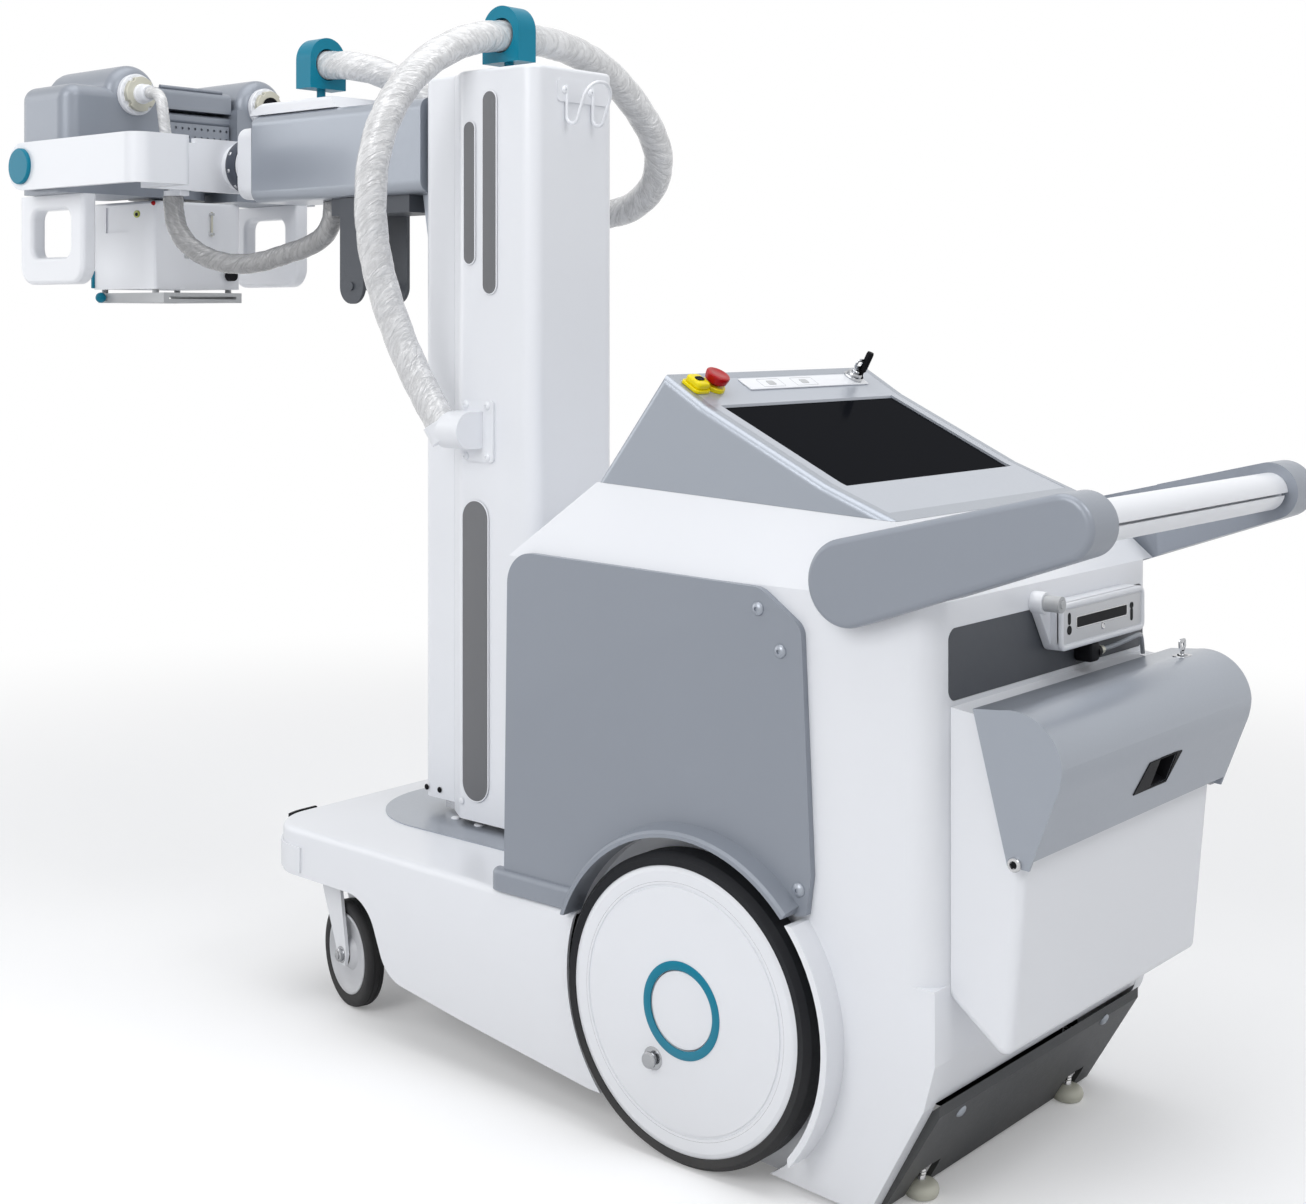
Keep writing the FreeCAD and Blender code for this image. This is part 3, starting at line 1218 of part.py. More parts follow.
# Yoke: a strap that wraps round the arm's end and carries the tube head between its tips.
back_x = s.tilt_x + 270 + s.yoke_back
tip = s.tilt_x - s.yoke_height / 2
w = s.yoke_wall
low_z = s.tilt_z - s.yoke_height / 2
high_z = s.tilt_z + s.yoke_height / 2
plate_front = s.yoke_plate_x - w
strap_line = [
    (s.tilt_x, -s.yoke_half), (back_x, -s.yoke_half), (back_x, -s.yoke_pocket),
    (s.yoke_plate_x, -s.yoke_pocket), (s.yoke_plate_x, 0), (plate_front, 0),
    (plate_front, -s.yoke_pocket - w), (back_x - w, -s.yoke_pocket - w),
    (back_x - w, -s.yoke_half + w), (s.tilt_x, -s.yoke_half + w),
]
strap = slab(strap_line, "z", low_z, high_z)
for radius, corner_y in ((36, -s.yoke_half), (16, -s.yoke_pocket)):
    corner = Vector(back_x, corner_y, s.tilt_z)
    strap = rounded(strap, radius, lambda middle, way: (middle - corner).Length < 1)
end_disc = drum(s.yoke_height / 2, (s.tilt_x, -s.yoke_half, s.tilt_z), (0, 1, 0), w)
strap = strap.fuse(end_disc)
strap = strap.cut(drum(s.pin_radius - 4, (s.tilt_x, -s.yoke_half - 5, s.tilt_z), (0, 1, 0), w + 10))
strap_far = strap.mirror(Vector(0, 0, 0), Vector(0, 1, 0))
hub_plate = block(plate_front, s.yoke_plate_x, -118, 118, s.arm_axis - 56, s.arm_axis + 56)
hub_ring = drum(52, (s.yoke_plate_x - 1, 0, s.arm_axis), (1, 0, 0), 16)
clip_x = -948
clip_y = -139
clip_z = 1508.6
clip = drum(20, (clip_x, clip_y, clip_z), (0, 0, 1), 11)
clip = clip.fuse(block(clip_x, plate_front + 5, clip_y - 12, clip_y + 12, clip_z, low_z + 8))
yoke = strap.multiFuse([strap_far, hub_plate, hub_ring, clip]).removeSplitter()
yoke = yoke.cut(drum(s.hv_cable_radius + 0.5, (clip_x, clip_y, clip_z - 5), (0, 0, 1), 30))
yoke = yoke.cut(drum(journal_radius + s.running_gap, (plate_front - 5, 0, s.arm_axis), (1, 0, 0), 60))
node("yoke", carved("yoke_strap", yoke))

# Tilt pins: each a shaft into the tube head, with a teal cap outside.
tilt_pin = drum(s.pin_radius - 4, (s.tilt_x, -s.yoke_half - 2, s.tilt_z), (0, 1, 0), 2 + w)
pin_at = (s.tilt_x, -s.yoke_half + w + s.seat_gap, s.tilt_z)
tilt_pin = tilt_pin.fuse(drum(s.pin_radius, pin_at, (0, 1, 0), 36))
tilt_pin = tilt_pin.fuse(drum(s.pin_radius - 4, (s.tilt_x, -s.yoke_half + 1, s.tilt_z), (0, 1, 0), w + 2))
cap = drum(s.cap_radius, (s.tilt_x, -s.yoke_half - 8.3, s.tilt_z), (0, 1, 0), 8)
cap = cap.makeFillet(3, [edge for edge in cap.Edges if edge.BoundBox.YMax < -s.yoke_half - 8.2])
tilt_pin = tilt_pin.fuse(cap).removeSplitter()
node("tilt_pins", carved("pins", both_sides(tilt_pin)))

# Tube head: moulded ends over the tube's barrel, with a bulge round each high voltage socket.
pin_bore = drum(s.pin_radius + s.running_gap, (s.tilt_x, -s.head_end - 5, s.tilt_z), (0, 1, 0), 60)
end_block = block(s.head_front, s.head_rear, -s.head_end, -s.hv_y - 40, s.head_low, s.head_top)
end_block = rounded(
    end_block, 34, lambda middle, way: middle.y < -s.head_end + 1 and middle.z > s.head_low + 1)
end_block = rounded(end_block, 26, lambda middle, way: abs(way.y) > 0.9 and middle.z > s.head_top - 1)
inner_block = block(
    s.head_front - 30, s.head_rear, -s.hv_y - 42, -s.barrel_radius - 3, s.head_low, s.hv_z - 10)
inner_block = rounded(inner_block, 22, lambda middle, way: abs(way.z) > 0.9 and middle.x < s.head_front)
bulge = drum(s.bulge_radius, (s.head_nose, -s.hv_y, s.hv_z), (1, 0, 0), s.head_rear - s.head_nose)
bulge = bulge.makeFillet(24, [edge for edge in bulge.Edges if edge.BoundBox.XLength < 0.01])
tube_end = end_block.multiFuse([inner_block, bulge]).removeSplitter()
tube_end = tube_end.cut(pin_bore)
barrel_room = drum(s.barrel_radius + 0.3, (s.barrel_x, -s.hv_y - 2, s.barrel_z), (0, 1, 0), s.hv_y + 2)
tube_end = tube_end.cut(barrel_room)
tube_end = tube_end.cut(drum(30.3, (s.head_rear - 40, -s.hv_y, s.hv_z), (1, 0, 0), 60))
node("tube_ends", carved("tube_end_pair", both_sides(tube_end)))

barrel = drum(s.barrel_radius, (s.barrel_x, -s.hv_y - 1.7, s.barrel_z), (0, 1, 0), 2 * s.hv_y + 3.4)
beam_half = s.barrel_radius + 3 - s.seat_gap
rib = 12
beam_bar = block(s.head_front + 20, s.head_rear - 22, -beam_half, beam_half, 1709, 1755)
beam_bar = rounded(beam_bar, 14, lambda middle, way: abs(way.y) > 0.9 and middle.z > 1750)
parts = [beam_bar]
back_rib = block(s.barrel_x, s.head_rear - 27, -beam_half, beam_half, 1680, 1702)
parts.append(rounded(back_rib, 8, lambda middle, way: abs(way.y) > 0.9 and middle.x > s.barrel_x + 1))
vent = block(s.barrel_x, s.head_rear - 22, -beam_half + 6, beam_half - 6, 1560, 1680)
parts.append(vent)
rail = drum(4, (s.head_rear - 30, -beam_half + 10, 1757), (0, 1, 0), 2 * beam_half - 30)
parts.append(rail)
neck_ring = drum(84, (s.tilt_x, 0, s.collimator_high + 8), (0, 0, 1), 40)
parts.append(neck_ring)
barrel = barrel.multiFuse(parts).removeSplitter()
for row in (1650, 1669):
    for step in range(-5, 6):
        barrel = barrel.cut(drum(3, (s.head_rear - 27, step * 17, row), (1, 0, 0), 10))
barrel = barrel.cut(drum(40.05, (s.tilt_x, 0, s.collimator_high), (0, 0, 1), 28))
node("tube_barrel", carved("barrel", barrel))

# High voltage sockets, each with its ring nut; the left one holds the plug.
socket_profile = [
    (0, s.head_rear - 38), (29.9, s.head_rear - 38), (29.9, s.head_rear + 0.3), (44, s.head_rear + 0.3),
    (44, s.head_rear + 12), (38, s.head_rear + 14), (38, s.head_rear + 26), (20, s.head_rear + 26),
    (20, s.head_rear + 20), (0, s.head_rear + 20),
]
socket_face = Part.Face(Part.makePolygon([Vector(x, r, 0) for r, x in socket_profile + socket_profile[:1]]))
socket = socket_face.revolve(Vector(0, 0, 0), Vector(1, 0, 0), 360)
socket_left = socket.copy()
socket_left.translate(Vector(0, -s.hv_y, s.hv_z))
plug = drum(19, (s.head_rear + 19, -s.hv_y, s.hv_z), (1, 0, 0), 33)
plug = plug.makeFillet(5, [edge for edge in plug.Edges if edge.BoundBox.XMin > s.head_rear + 51.9])
socket_left = socket_left.fuse(plug).removeSplitter()
socket_right = socket.copy()
socket_right.translate(Vector(0, s.hv_y, s.hv_z))
node("hv_receptacles", carved("receptacles", Part.makeCompound([socket_left, socket_right])))

# Loop handles under the tube head's ends.
loop_x0, loop_x1 = s.tilt_x - 110, s.tilt_x + 130
loop_half = s.loop_thick / 2
loop_top = s.head_low - s.seat_gap
loop = block(loop_x0, loop_x1, -s.loop_y - loop_half, -s.loop_y + loop_half, 1322, loop_top)
loop = rounded(loop, 44, lambda middle, way: abs(way.y) > 0.9 and middle.z < 1330)
hole = block(loop_x0 + 48, loop_x1 - 48, -s.loop_y - 40, -s.loop_y + 40, 1380, 1480)
hole = rounded(hole, 22, lambda middle, way: abs(way.y) > 0.9)
loop = loop.cut(hole)
rims = [
    edge for edge in loop.Edges if edge.BoundBox.YLength < 0.01 and edge.BoundBox.ZMin < loop_top - 1
]
loop = loop.makeFillet(9, rims)
node("head_handles", carved("loops", both_sides(loop)))

# Collimator: a box that turns under the tube, its accessory rails and one field knob.
cx, cy = s.collimator_x, s.collimator_y
case = block(s.tilt_x - cx, s.tilt_x + cx, -cy, cy, s.collimator_low, s.collimator_high)
case = rounded(case, 7, lambda middle, way: abs(way.z) > 0.9 or middle.z > s.collimator_high - 1)
case = case.cut(block(-1236, -1151, -cy - 1, -cy + 3, 1440, 1496))
case = case.fuse(drum(40, (s.tilt_x, 0, s.collimator_high - 1), (0, 0, 1), 26))
case = case.cut(drum(6.05, (s.tilt_x + cx - 12, 82, 1345), (1, 0, 0), 30))
case = case.cut(block(s.tilt_x - 70, s.tilt_x + 70, -70, 70, s.collimator_low - 5, s.collimator_low + 40))
node("collimator_box", carved("collimator", case.removeSplitter()))
tray = block(s.tilt_x - 112, s.tilt_x + 136, -104, 104, s.tray_low, s.tray_low + 22)
tray = tray.cut(block(s.tilt_x - 82, s.tilt_x + 106, -76, 76, s.tray_low - 5, s.tray_low + 40))
tray = tray.cut(block(s.tilt_x - 130, s.tilt_x + 150, -90, 90, s.tray_low + 8, s.tray_low + 14))
studs = [
    drum(7, (x, y, s.tray_low + 16), (0, 0, 1), s.collimator_low - s.tray_low - 16.3)
    for x in (s.tilt_x - 96, s.tilt_x + 96) for y in (-97, 97)
]
knob = Part.makeSphere(11, Vector(s.tilt_x - 84, -116, s.tray_low + 12))
stalk = drum(4, (s.tilt_x - 84, -114, s.tray_low + 12), (0, 1, 0), 14)
node("collimator_tray", carved("tray", tray.multiFuse(studs + [knob, stalk]).removeSplitter()))
dial = drum(6, (s.tilt_x + cx - 11.7, 82, 1345), (1, 0, 0), 18)
dial = dial.fuse(drum(12, (s.tilt_x + cx + 2, 82, 1345), (1, 0, 0), 16))
node("field_knob", carved("dial", dial.removeSplitter()))

# Wires, sleeves and cables, as straight runs joined by tangent arcs.


def tube(name, points, radius):
    """A tube along hand-chosen points. Each arc's radius is 0.45 of its shorter run over tan(half turn)."""
    corners = [Vector(*point) for point in points]
    edges = []
    radii = []
    start = corners[0]
    for before, here, after in zip(corners, corners[1:], corners[2:]):
        run_in = (here - before)
        run_out = (after - here)
        reach = 0.45 * min(run_in.Length, run_out.Length)
        way_in = run_in.normalize()
        way_out = run_out.normalize()
        turn = way_in.getAngle(way_out)
        radii.append(reach / math.tan(turn / 2))
        first = here - way_in * reach
        last = here + way_out * reach
        inward = (way_out - way_in).normalize()
        middle = here + inward * (reach * (1 - math.cos(turn / 2)) / math.sin(turn / 2))
        edges.append(Part.makeLine(start, first))
        edges.append(Part.Arc(first, middle, last).toShape())
        start = last
    edges.append(Part.makeLine(start, corners[-1]))
    path = Part.Wire(edges)
    ring = Part.Wire(Part.makeCircle(radius, corners[0], corners[1] - corners[0]))
    solid = path.makePipeShell([ring], True, False)
    share = solid.Volume / (math.pi * radius ** 2 * path.Length)
    print("%s: length %.0f, radii from %.0f (%.1f diameters), volume over section x length %.4f"
          % (name, path.Length, min(radii), min(radii) / (2 * radius), share))
    return carved(name + "_tube", solid)


hook_wire = tube("hook_wire", hook_points, hook_wire_radius)
node("cable_hooks", carved("hooks", hook_plate.fuse(hook_wire.Shape).removeSplitter()))
cable_sleeve_points = [
    tuple(sleeve_start), tuple(sleeve_next), (-166, -196, 1196), (-180, -232, 1298), (-175, -264, 1392),
    (-158, -284, 1482), (-139, -285, 1569), (-120, -262, 1642), (-100, -215, 1705), (-86, -140, 1752),
    (-72, -65, 1774), (-66, 25, 1776), (-60, 113, 1772), (-56, 198, 1752), (-55, 275, 1714), (-54, 340, 1662),
    (-55, 383, 1617), (-61, 408, 1574), (-79, 419, 1531), (-111, 418, 1495), (-154, 408, 1471),
    (-210, 388, 1462), (-277, 356, 1470), (-345, 313, 1499), (-401, 261, 1547), (-435, 203, 1607),
    (-446, 146, 1668), (-462, 98, 1720), (-502, 46, 1755), (-575, 0, 1772), (-646.7, 0, 1772),
]
head_sleeve_points = [
    (-948, -139, 1508.3), (-948, -139, 1460), (-922, -130, 1410), (-874, -112, 1378), (-814, -88, 1362),
    (-752, -62, 1366), (-695, -38, 1384), (-636, -14, 1402), (-592, 0, 1440), (-592, 0, 1489.7),
]
hv_cable_points = [
    (-987.7, -172, 1728), (-963, -172, 1728), (-945, -171, 1711), (-943, -169, 1686),
    (-943, -163, 1642), (-945, -152, 1596), (-948, -139, 1552), (-948, -139, 1508.6),
]
detector_cable_points = [
    (1061.3, 118, 748), (1062, 146, 748), (1073, 178, 756), (1075, 212, 760),
    (1066, 240, 754), (1062, 252, 724),
]
node("cable_sleeve", tube("cable_sleeve", cable_sleeve_points, s.sleeve_radius))
node("head_sleeve", tube("head_sleeve", head_sleeve_points, s.head_sleeve_radius))
node("hv_cable", tube("hv_cable", hv_cable_points, s.hv_cable_radius))
node("detector_cable", tube("detector_cable", detector_cable_points, 3.5))

doc.recompute()
faults = [item.Name for item in doc.Objects if {"Invalid", "Error"} & set(item.State)]
for item in nodes:
    if item.Shape.isNull() or not item.Shape.isValid() or not item.Shape.Solids:
        faults.append(item.Label)
if faults:
    raise RuntimeError("these are not sound: " + ", ".join(faults))

os.makedirs("parts", exist_ok=True)
for item in nodes:
    item.Shape.exportStep("parts/%s.step" % item.Label)
whole = Part.makeCompound([item.Shape for item in nodes]).BoundBox
print("%d nodes, x %.1f to %.1f, y %.1f to %.1f, z %.1f to %.1f"
      % (len(nodes), whole.XMin, whole.XMax, whole.YMin, whole.YMax, whole.ZMin, whole.ZMax))
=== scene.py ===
import math

import bmesh
import bpy
import numpy as np
from bpy.props import FloatProperty, FloatVectorProperty, IntProperty, PointerProperty
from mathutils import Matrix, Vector


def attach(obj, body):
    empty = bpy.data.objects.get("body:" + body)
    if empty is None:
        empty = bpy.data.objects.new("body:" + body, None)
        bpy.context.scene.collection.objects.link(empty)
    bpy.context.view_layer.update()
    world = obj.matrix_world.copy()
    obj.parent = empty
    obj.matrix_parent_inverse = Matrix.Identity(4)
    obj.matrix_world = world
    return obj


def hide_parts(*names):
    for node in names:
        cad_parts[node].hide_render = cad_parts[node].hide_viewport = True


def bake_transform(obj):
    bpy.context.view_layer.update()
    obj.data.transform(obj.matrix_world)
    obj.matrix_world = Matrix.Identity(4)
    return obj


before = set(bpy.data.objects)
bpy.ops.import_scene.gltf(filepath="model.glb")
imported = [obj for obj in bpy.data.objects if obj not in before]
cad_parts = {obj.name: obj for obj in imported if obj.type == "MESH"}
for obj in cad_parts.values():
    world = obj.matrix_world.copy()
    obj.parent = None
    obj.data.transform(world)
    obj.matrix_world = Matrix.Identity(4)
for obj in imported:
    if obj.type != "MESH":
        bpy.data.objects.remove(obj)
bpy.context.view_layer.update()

bl_info = {
    "name": "Mobile X-ray Machine",
    "version": (1, 0, 0),
    "blender": (4, 5, 0),
    "location": "View3D > Sidebar > X-ray",
    "description": "Dresses the mobile x-ray machine's frame with finished surfaces and small parts",
    "category": "Object",
}

PI = math.pi
TAU = 2 * math.pi
SIDES = (("left", -1), ("right", 1))
X_AXIS, Y_AXIS, Z_AXIS = (1, 0, 0), (0, 1, 0), (0, 0, 1)
PLAIN_WHITE = (1, 1, 1, 1)
PHOTO_WIDTH, PHOTO_HEIGHT = 1306, 1204
PHOTO_FOCAL = 1873.72
PHOTO_CENTRE = (627.77, 315.86)
WHEEL_FACE = 0.372
PANEL_FACE = 0.3433
COLUMN_FACE = 0.1135
REAR_FACE, SOCKET_FACE = 1.0413, 1.0700
GLAND_AT = (1.0613, 0.092, 0.748)
HEAD_SOCKET_Y, HEAD_SOCKET_Z = 0.172, 1.728
YOKE_AXIS_Z = 1.575
FACET_SLOPE = math.radians(30.9638)
FACET_OUT = (math.sin(FACET_SLOPE), 0.0, math.cos(FACET_SLOPE))
FACET_DOWN = (math.cos(FACET_SLOPE), 0.0, -math.sin(FACET_SLOPE))


def panel_colour(name, value):
    return FloatVectorProperty(name=name, description=name + " paint", subtype="COLOR", size=3,
                               min=0.0, max=1.0, default=value)


class MachineFinish(bpy.types.PropertyGroup):
    white: panel_colour("White shell", (0.800, 0.815, 0.850))
    grey: panel_colour("Grey panel", (0.275, 0.300, 0.345))
    silver: panel_colour("Silver panel", (0.355, 0.385, 0.435))
    teal: panel_colour("Teal trim", (0.001, 0.195, 0.300))
    dark: panel_colour("Dark trim", (0.068, 0.075, 0.088))
    rubber: panel_colour("Tyre rubber", (0.017, 0.018, 0.021))
    sleeve: panel_colour("Cable sleeve", (0.720, 0.722, 0.730))


class MachineSizes(bpy.types.PropertyGroup):
    ring_radius: FloatProperty(name="Hub ring radius", description="Teal ring's outer radius on the drive wheel",
                               default=0.072, min=0.04, max=0.12, unit="LENGTH")
    screw_radius: FloatProperty(name="Panel screw radius", description="Radius of a side panel's domed screw",
                                default=0.0105, min=0.004, max=0.02, unit="LENGTH")
    steps: IntProperty(name="Round steps", description="Steps round a turned piece", default=64, min=16, max=160)


def finish():
    return bpy.context.scene.machine_finish


def sizes():
    return bpy.context.scene.machine_sizes


# Shapes


def put_mesh(name, points, faces, smooth=True):
    """A mesh object from whole arrays: points (n, 3) and a list of face index tuples."""
    mesh = bpy.data.meshes.new(name)
    mesh.from_pydata(np.asarray(points, float).tolist(), [], faces)
    mesh.polygons.foreach_set("use_smooth", [smooth] * len(mesh.polygons))
    mesh.update()
    item = bpy.data.objects.new(name, mesh)
    bpy.context.scene.collection.objects.link(item)
    return item


def grid_faces(rows, columns, wrap_rows=False, wrap_columns=True, start=0):
    """Quads that join a grid of rows by columns, round again where it wraps."""
    row = np.arange(rows if wrap_rows else rows - 1)
    column = np.arange(columns if wrap_columns else columns - 1)
    r, c = np.meshgrid(row, column, indexing="ij")
    r2, c2 = (r + 1) % rows, (c + 1) % columns
    quads = np.stack([r * columns + c, r * columns + c2, r2 * columns + c2, r2 * columns + c], -1)
    return (quads.reshape(-1, 4) + start).tolist()


def face_out(item, sharp=35):
    """Merges doubles, turns faces outwards and marks edges sharper than the angle given."""
    work = bmesh.new()
    work.from_mesh(item.data)
    bmesh.ops.remove_doubles(work, verts=work.verts, dist=1e-6)
    bmesh.ops.recalc_face_normals(work, faces=work.faces)
    work.to_mesh(item.data)
    work.free()
    item.data.set_sharp_from_angle(angle=math.radians(sharp))
    return item


def face_up(item):
    """Turns a flat sheet's faces upwards."""
    work = bmesh.new()
    work.from_mesh(item.data)
    bmesh.ops.recalc_face_normals(work, faces=work.faces)
    if sum(face.normal.z for face in work.faces) < 0:
        bmesh.ops.reverse_faces(work, faces=work.faces)
    work.to_mesh(item.data)
    work.free()
    return item


def axis_frame(axis):
    """Two unit vectors across an axis, and the axis, as rows."""
    along = np.asarray(axis, float)
    along = along / np.linalg.norm(along)
    side = np.cross(along, [0, 0, 1.0])
    if np.linalg.norm(side) < 1e-6:
        side = np.array([1.0, 0, 0])
    side = side / np.linalg.norm(side)
    return side, np.cross(along, side), along


def lathe(name, profile, centre, axis, steps=None, sharp=35):
    """A profile of (radius, height) rows turned about an axis: p = centre + r cos(t) a + r sin(t) b + h n."""
    count = steps or sizes().steps
    profile = np.asarray(profile, float)
    turn = np.linspace(0, TAU, count, endpoint=False)
    side, up, along = axis_frame(axis)
    r, h = profile[:, :1, None], profile[:, 1:2, None]
    ring = np.cos(turn)[None, :, None] * side + np.sin(turn)[None, :, None] * up
    points = np.asarray(centre, float) + r * ring + h * along
    return face_out(put_mesh(name, points.reshape(-1, 3), grid_faces(len(profile), count)), sharp)


def mirrored(half):
    """A closed profile from its lower half: the rows, then the same ones upside down, and the first again."""
    return half + [(r, -h) for r, h in half[::-1]] + half[:1]


def rounded(corners, radii, steps=6):
    """An outline whose corners are arcs: each arc touches both sides at r tan(turn / 2) from the corner."""
    corners = np.asarray(corners, float)
    radii = np.broadcast_to(np.asarray(radii, float), len(corners))
    made = []
    for before, here, after, radius in zip(np.roll(corners, 1, 0), corners, np.roll(corners, -1, 0), radii):
        if radius <= 0:
            made.append(here[None])
            continue
        a, b = before - here, after - here
        la, lb = np.linalg.norm(a), np.linalg.norm(b)
        a, b = a / la, b / lb
        half = math.acos(np.clip(a @ b, -1, 1)) / 2
        reach = min(radius / math.tan(half), 0.49 * la, 0.49 * lb)
        radius = reach * math.tan(half)
        middle = here + (a + b) / np.linalg.norm(a + b) * radius / math.sin(half)
        first, last = here + a * reach - middle, here + b * reach - middle
        share = np.linspace(0, 1, steps + 1)[:, None]
        span = math.acos(np.clip(first @ last / radius ** 2, -1, 1))
        made.append(middle + (np.sin((1 - share) * span) * first + np.sin(share * span) * last) / math.sin(span))
    return np.concatenate(made)


def inset(outline, distance):
    """The outline moved inwards along the mean normal of each point's two sides."""
    ahead = np.roll(outline, -1, 0) - outline
    ahead /= np.linalg.norm(ahead, axis=1, keepdims=True)
    behind = np.roll(ahead, 1, 0)
    area = np.sum(outline[:, 0] * np.roll(outline[:, 1], -1) - np.roll(outline[:, 0], -1) * outline[:, 1])
    sign = 1 if area > 0 else -1
    n1 = np.stack([-ahead[:, 1], ahead[:, 0]], 1) * sign
    n2 = np.stack([-behind[:, 1], behind[:, 0]], 1) * sign
    mean = n1 + n2
    scale = 2 / np.maximum(np.sum(mean * mean, axis=1, keepdims=True), 0.5)
    return outline + mean * scale * distance


def plate(name, outline, lay, low, high, edge=0.0, steps=3, sharp=35):
    """A flat outline carried from low to high, its rims rounded as quarter circles of the edge radius.
    lay(u, v, w) gives the point for outline coordinates u, v at height w."""
    outline = np.asarray(outline, float)
    turn = np.linspace(0, PI / 2, steps + 1)
    if edge > 0:
        rise = np.concatenate([low + edge * (1 - np.cos(turn)), high - edge * (1 - np.cos(turn[::-1]))])
        draw = np.concatenate([edge * (1 - np.sin(turn)), edge * (1 - np.sin(turn[::-1]))])
    else:
        rise, draw = np.array([low, high]), np.zeros(2)
    rings = []
    for w, d in zip(rise, draw):
        ring = inset(outline, d) if d > 0 else outline
        rings.append(lay(ring[:, 0], ring[:, 1], np.full(len(ring), w)))
    count = len(outline)
    points = np.concatenate(rings)
    faces = grid_faces(len(rings), count)
    faces += [tuple(range(count)), tuple(range((len(rings) - 1) * count, len(rings) * count))]
    return face_out(put_mesh(name, points, faces), sharp)


def lay_z(u, v, w):
    return np.stack([u, v, w], 1)


def lay_x(u, v, w):
    return np.stack([w, u, v], 1)


def lay_side(sign):
    """Outlines in x and z on the left (-1) or right (1) side, with heights outwards in y."""
    return lambda u, v, w: np.stack([u, sign * w, v], 1)


def facet(x, y, lift=0.0):
    """A point on the console's top facet, z = 1.164 - (x - 0.525) tan(slope), lifted along its normal."""
    height = 1.164 - (x - 0.525) * math.tan(FACET_SLOPE)
    return (x + lift * FACET_OUT[0], y, height + lift * FACET_OUT[2])


def lay_on(origin, u_axis, v_axis):
    """An outline's plane at an origin with two axes; heights go along their cross product."""
    origin, u_axis, v_axis = (np.asarray(row, float) for row in (origin, u_axis, v_axis))
    out = np.cross(u_axis, v_axis)
    return lambda u, v, w: origin + u[:, None] * u_axis + v[:, None] * v_axis + w[:, None] * out


def moulded_ring(name, outline, width, lay, low, high, edge, sharp=50):
    """A raised frame along an outline: a bar's section, with both upper edges as quarter circles, is carried
    round it, each section point at its own distance inside the outline."""
    outline = np.asarray(outline, float)
    turn = np.linspace(0, PI / 2, 4)
    draw = np.r_[0, edge * (1 - np.cos(turn)), width - edge * (1 - np.cos(turn[::-1])), width]
    rise = np.r_[low, high - edge * (1 - np.sin(turn)), high - edge * (1 - np.sin(turn[::-1])), low]
    rings = [lay(*(inset(outline, d) if d > 0 else outline).T, np.full(len(outline), w)) for d, w in zip(draw, rise)]
    return face_out(put_mesh(name, np.concatenate(rings), grid_faces(len(rings), len(outline), True)), sharp)


def box_outline(x0, x1, z0, z1, radius, steps=5):
    """A rectangle with round corners."""
    return rounded([(x0, z0), (x1, z0), (x1, z1), (x0, z1)], radius, steps)


def stadium(x0, x1, z0, z1, steps=10):
    """A slot's outline, whose short ends are half circles."""
    radius = min(x1 - x0, z1 - z0) / 2
    return box_outline(x0, x1, z0, z1, radius * 0.999, steps)


def notched(radius, depth, count, share, phase=0.0, steps=96):
    """A round outline with square notches: r(t) = radius - depth wherever the share of each count-th turn says."""
    turn = np.linspace(0, TAU, steps, endpoint=False)
    cut = ((turn - phase) * count / TAU) % 1 < share
    reach = radius - depth * cut
    return np.stack([reach * np.cos(turn), reach * np.sin(turn)], 1)


def ellipse(x, z, a, b, steps=32):
    """An ellipse about (x, z): u = x + a cos(t), v = z + b sin(t)."""
    turn = np.linspace(0, TAU, steps, endpoint=False)
    return np.stack([x + a * np.cos(turn), z + b * np.sin(turn)], 1)


def joined(name, items):
    """Several meshes as one, in place."""
    points, faces, base = [], [], 0
    for item in items:
        points += [tuple(v.co) for v in item.data.vertices]
        faces += [tuple(i + base for i in poly.vertices) for poly in item.data.polygons]
        base = len(points)
        bpy.data.objects.remove(item)
    return face_out(put_mesh(name, points, faces))


# Materials


def new_group(name, inputs, outputs):
    """An empty shader group with its named inputs (name, kind, default) and outputs (name, kind), and the sockets
    inside it that bring the ones and take the others."""
    group = bpy.data.node_groups.new(name, "ShaderNodeTree")
    for label, kind, default in inputs:
        socket = group.interface.new_socket(name=label, in_out="INPUT", socket_type="NodeSocket" + kind)
        socket.default_value = default
    for label, kind in outputs:
        group.interface.new_socket(name=label, in_out="OUTPUT", socket_type="NodeSocket" + kind)
    return group, group.nodes.new("NodeGroupInput").outputs, group.nodes.new("NodeGroupOutput").inputs


def add(tree, kind, inputs=None, **values):
    """A node with its properties and, by name or number, its inputs: each a value, or the socket it is linked from."""
    item = tree.nodes.new("ShaderNode" + kind)
    for key, value in values.items():
        setattr(item, key, value)
    for socket, amount in (inputs or {}).items():
        if isinstance(amount, bpy.types.NodeSocket):
            tree.links.new(amount, item.inputs[socket])
        else:
            item.inputs[socket].default_value = amount
    return item


def maths(tree, operation, *values):
    """The result of a Math node, whose inputs are given in order."""
    return add(tree, "Math", dict(enumerate(values)), operation=operation).outputs[0]


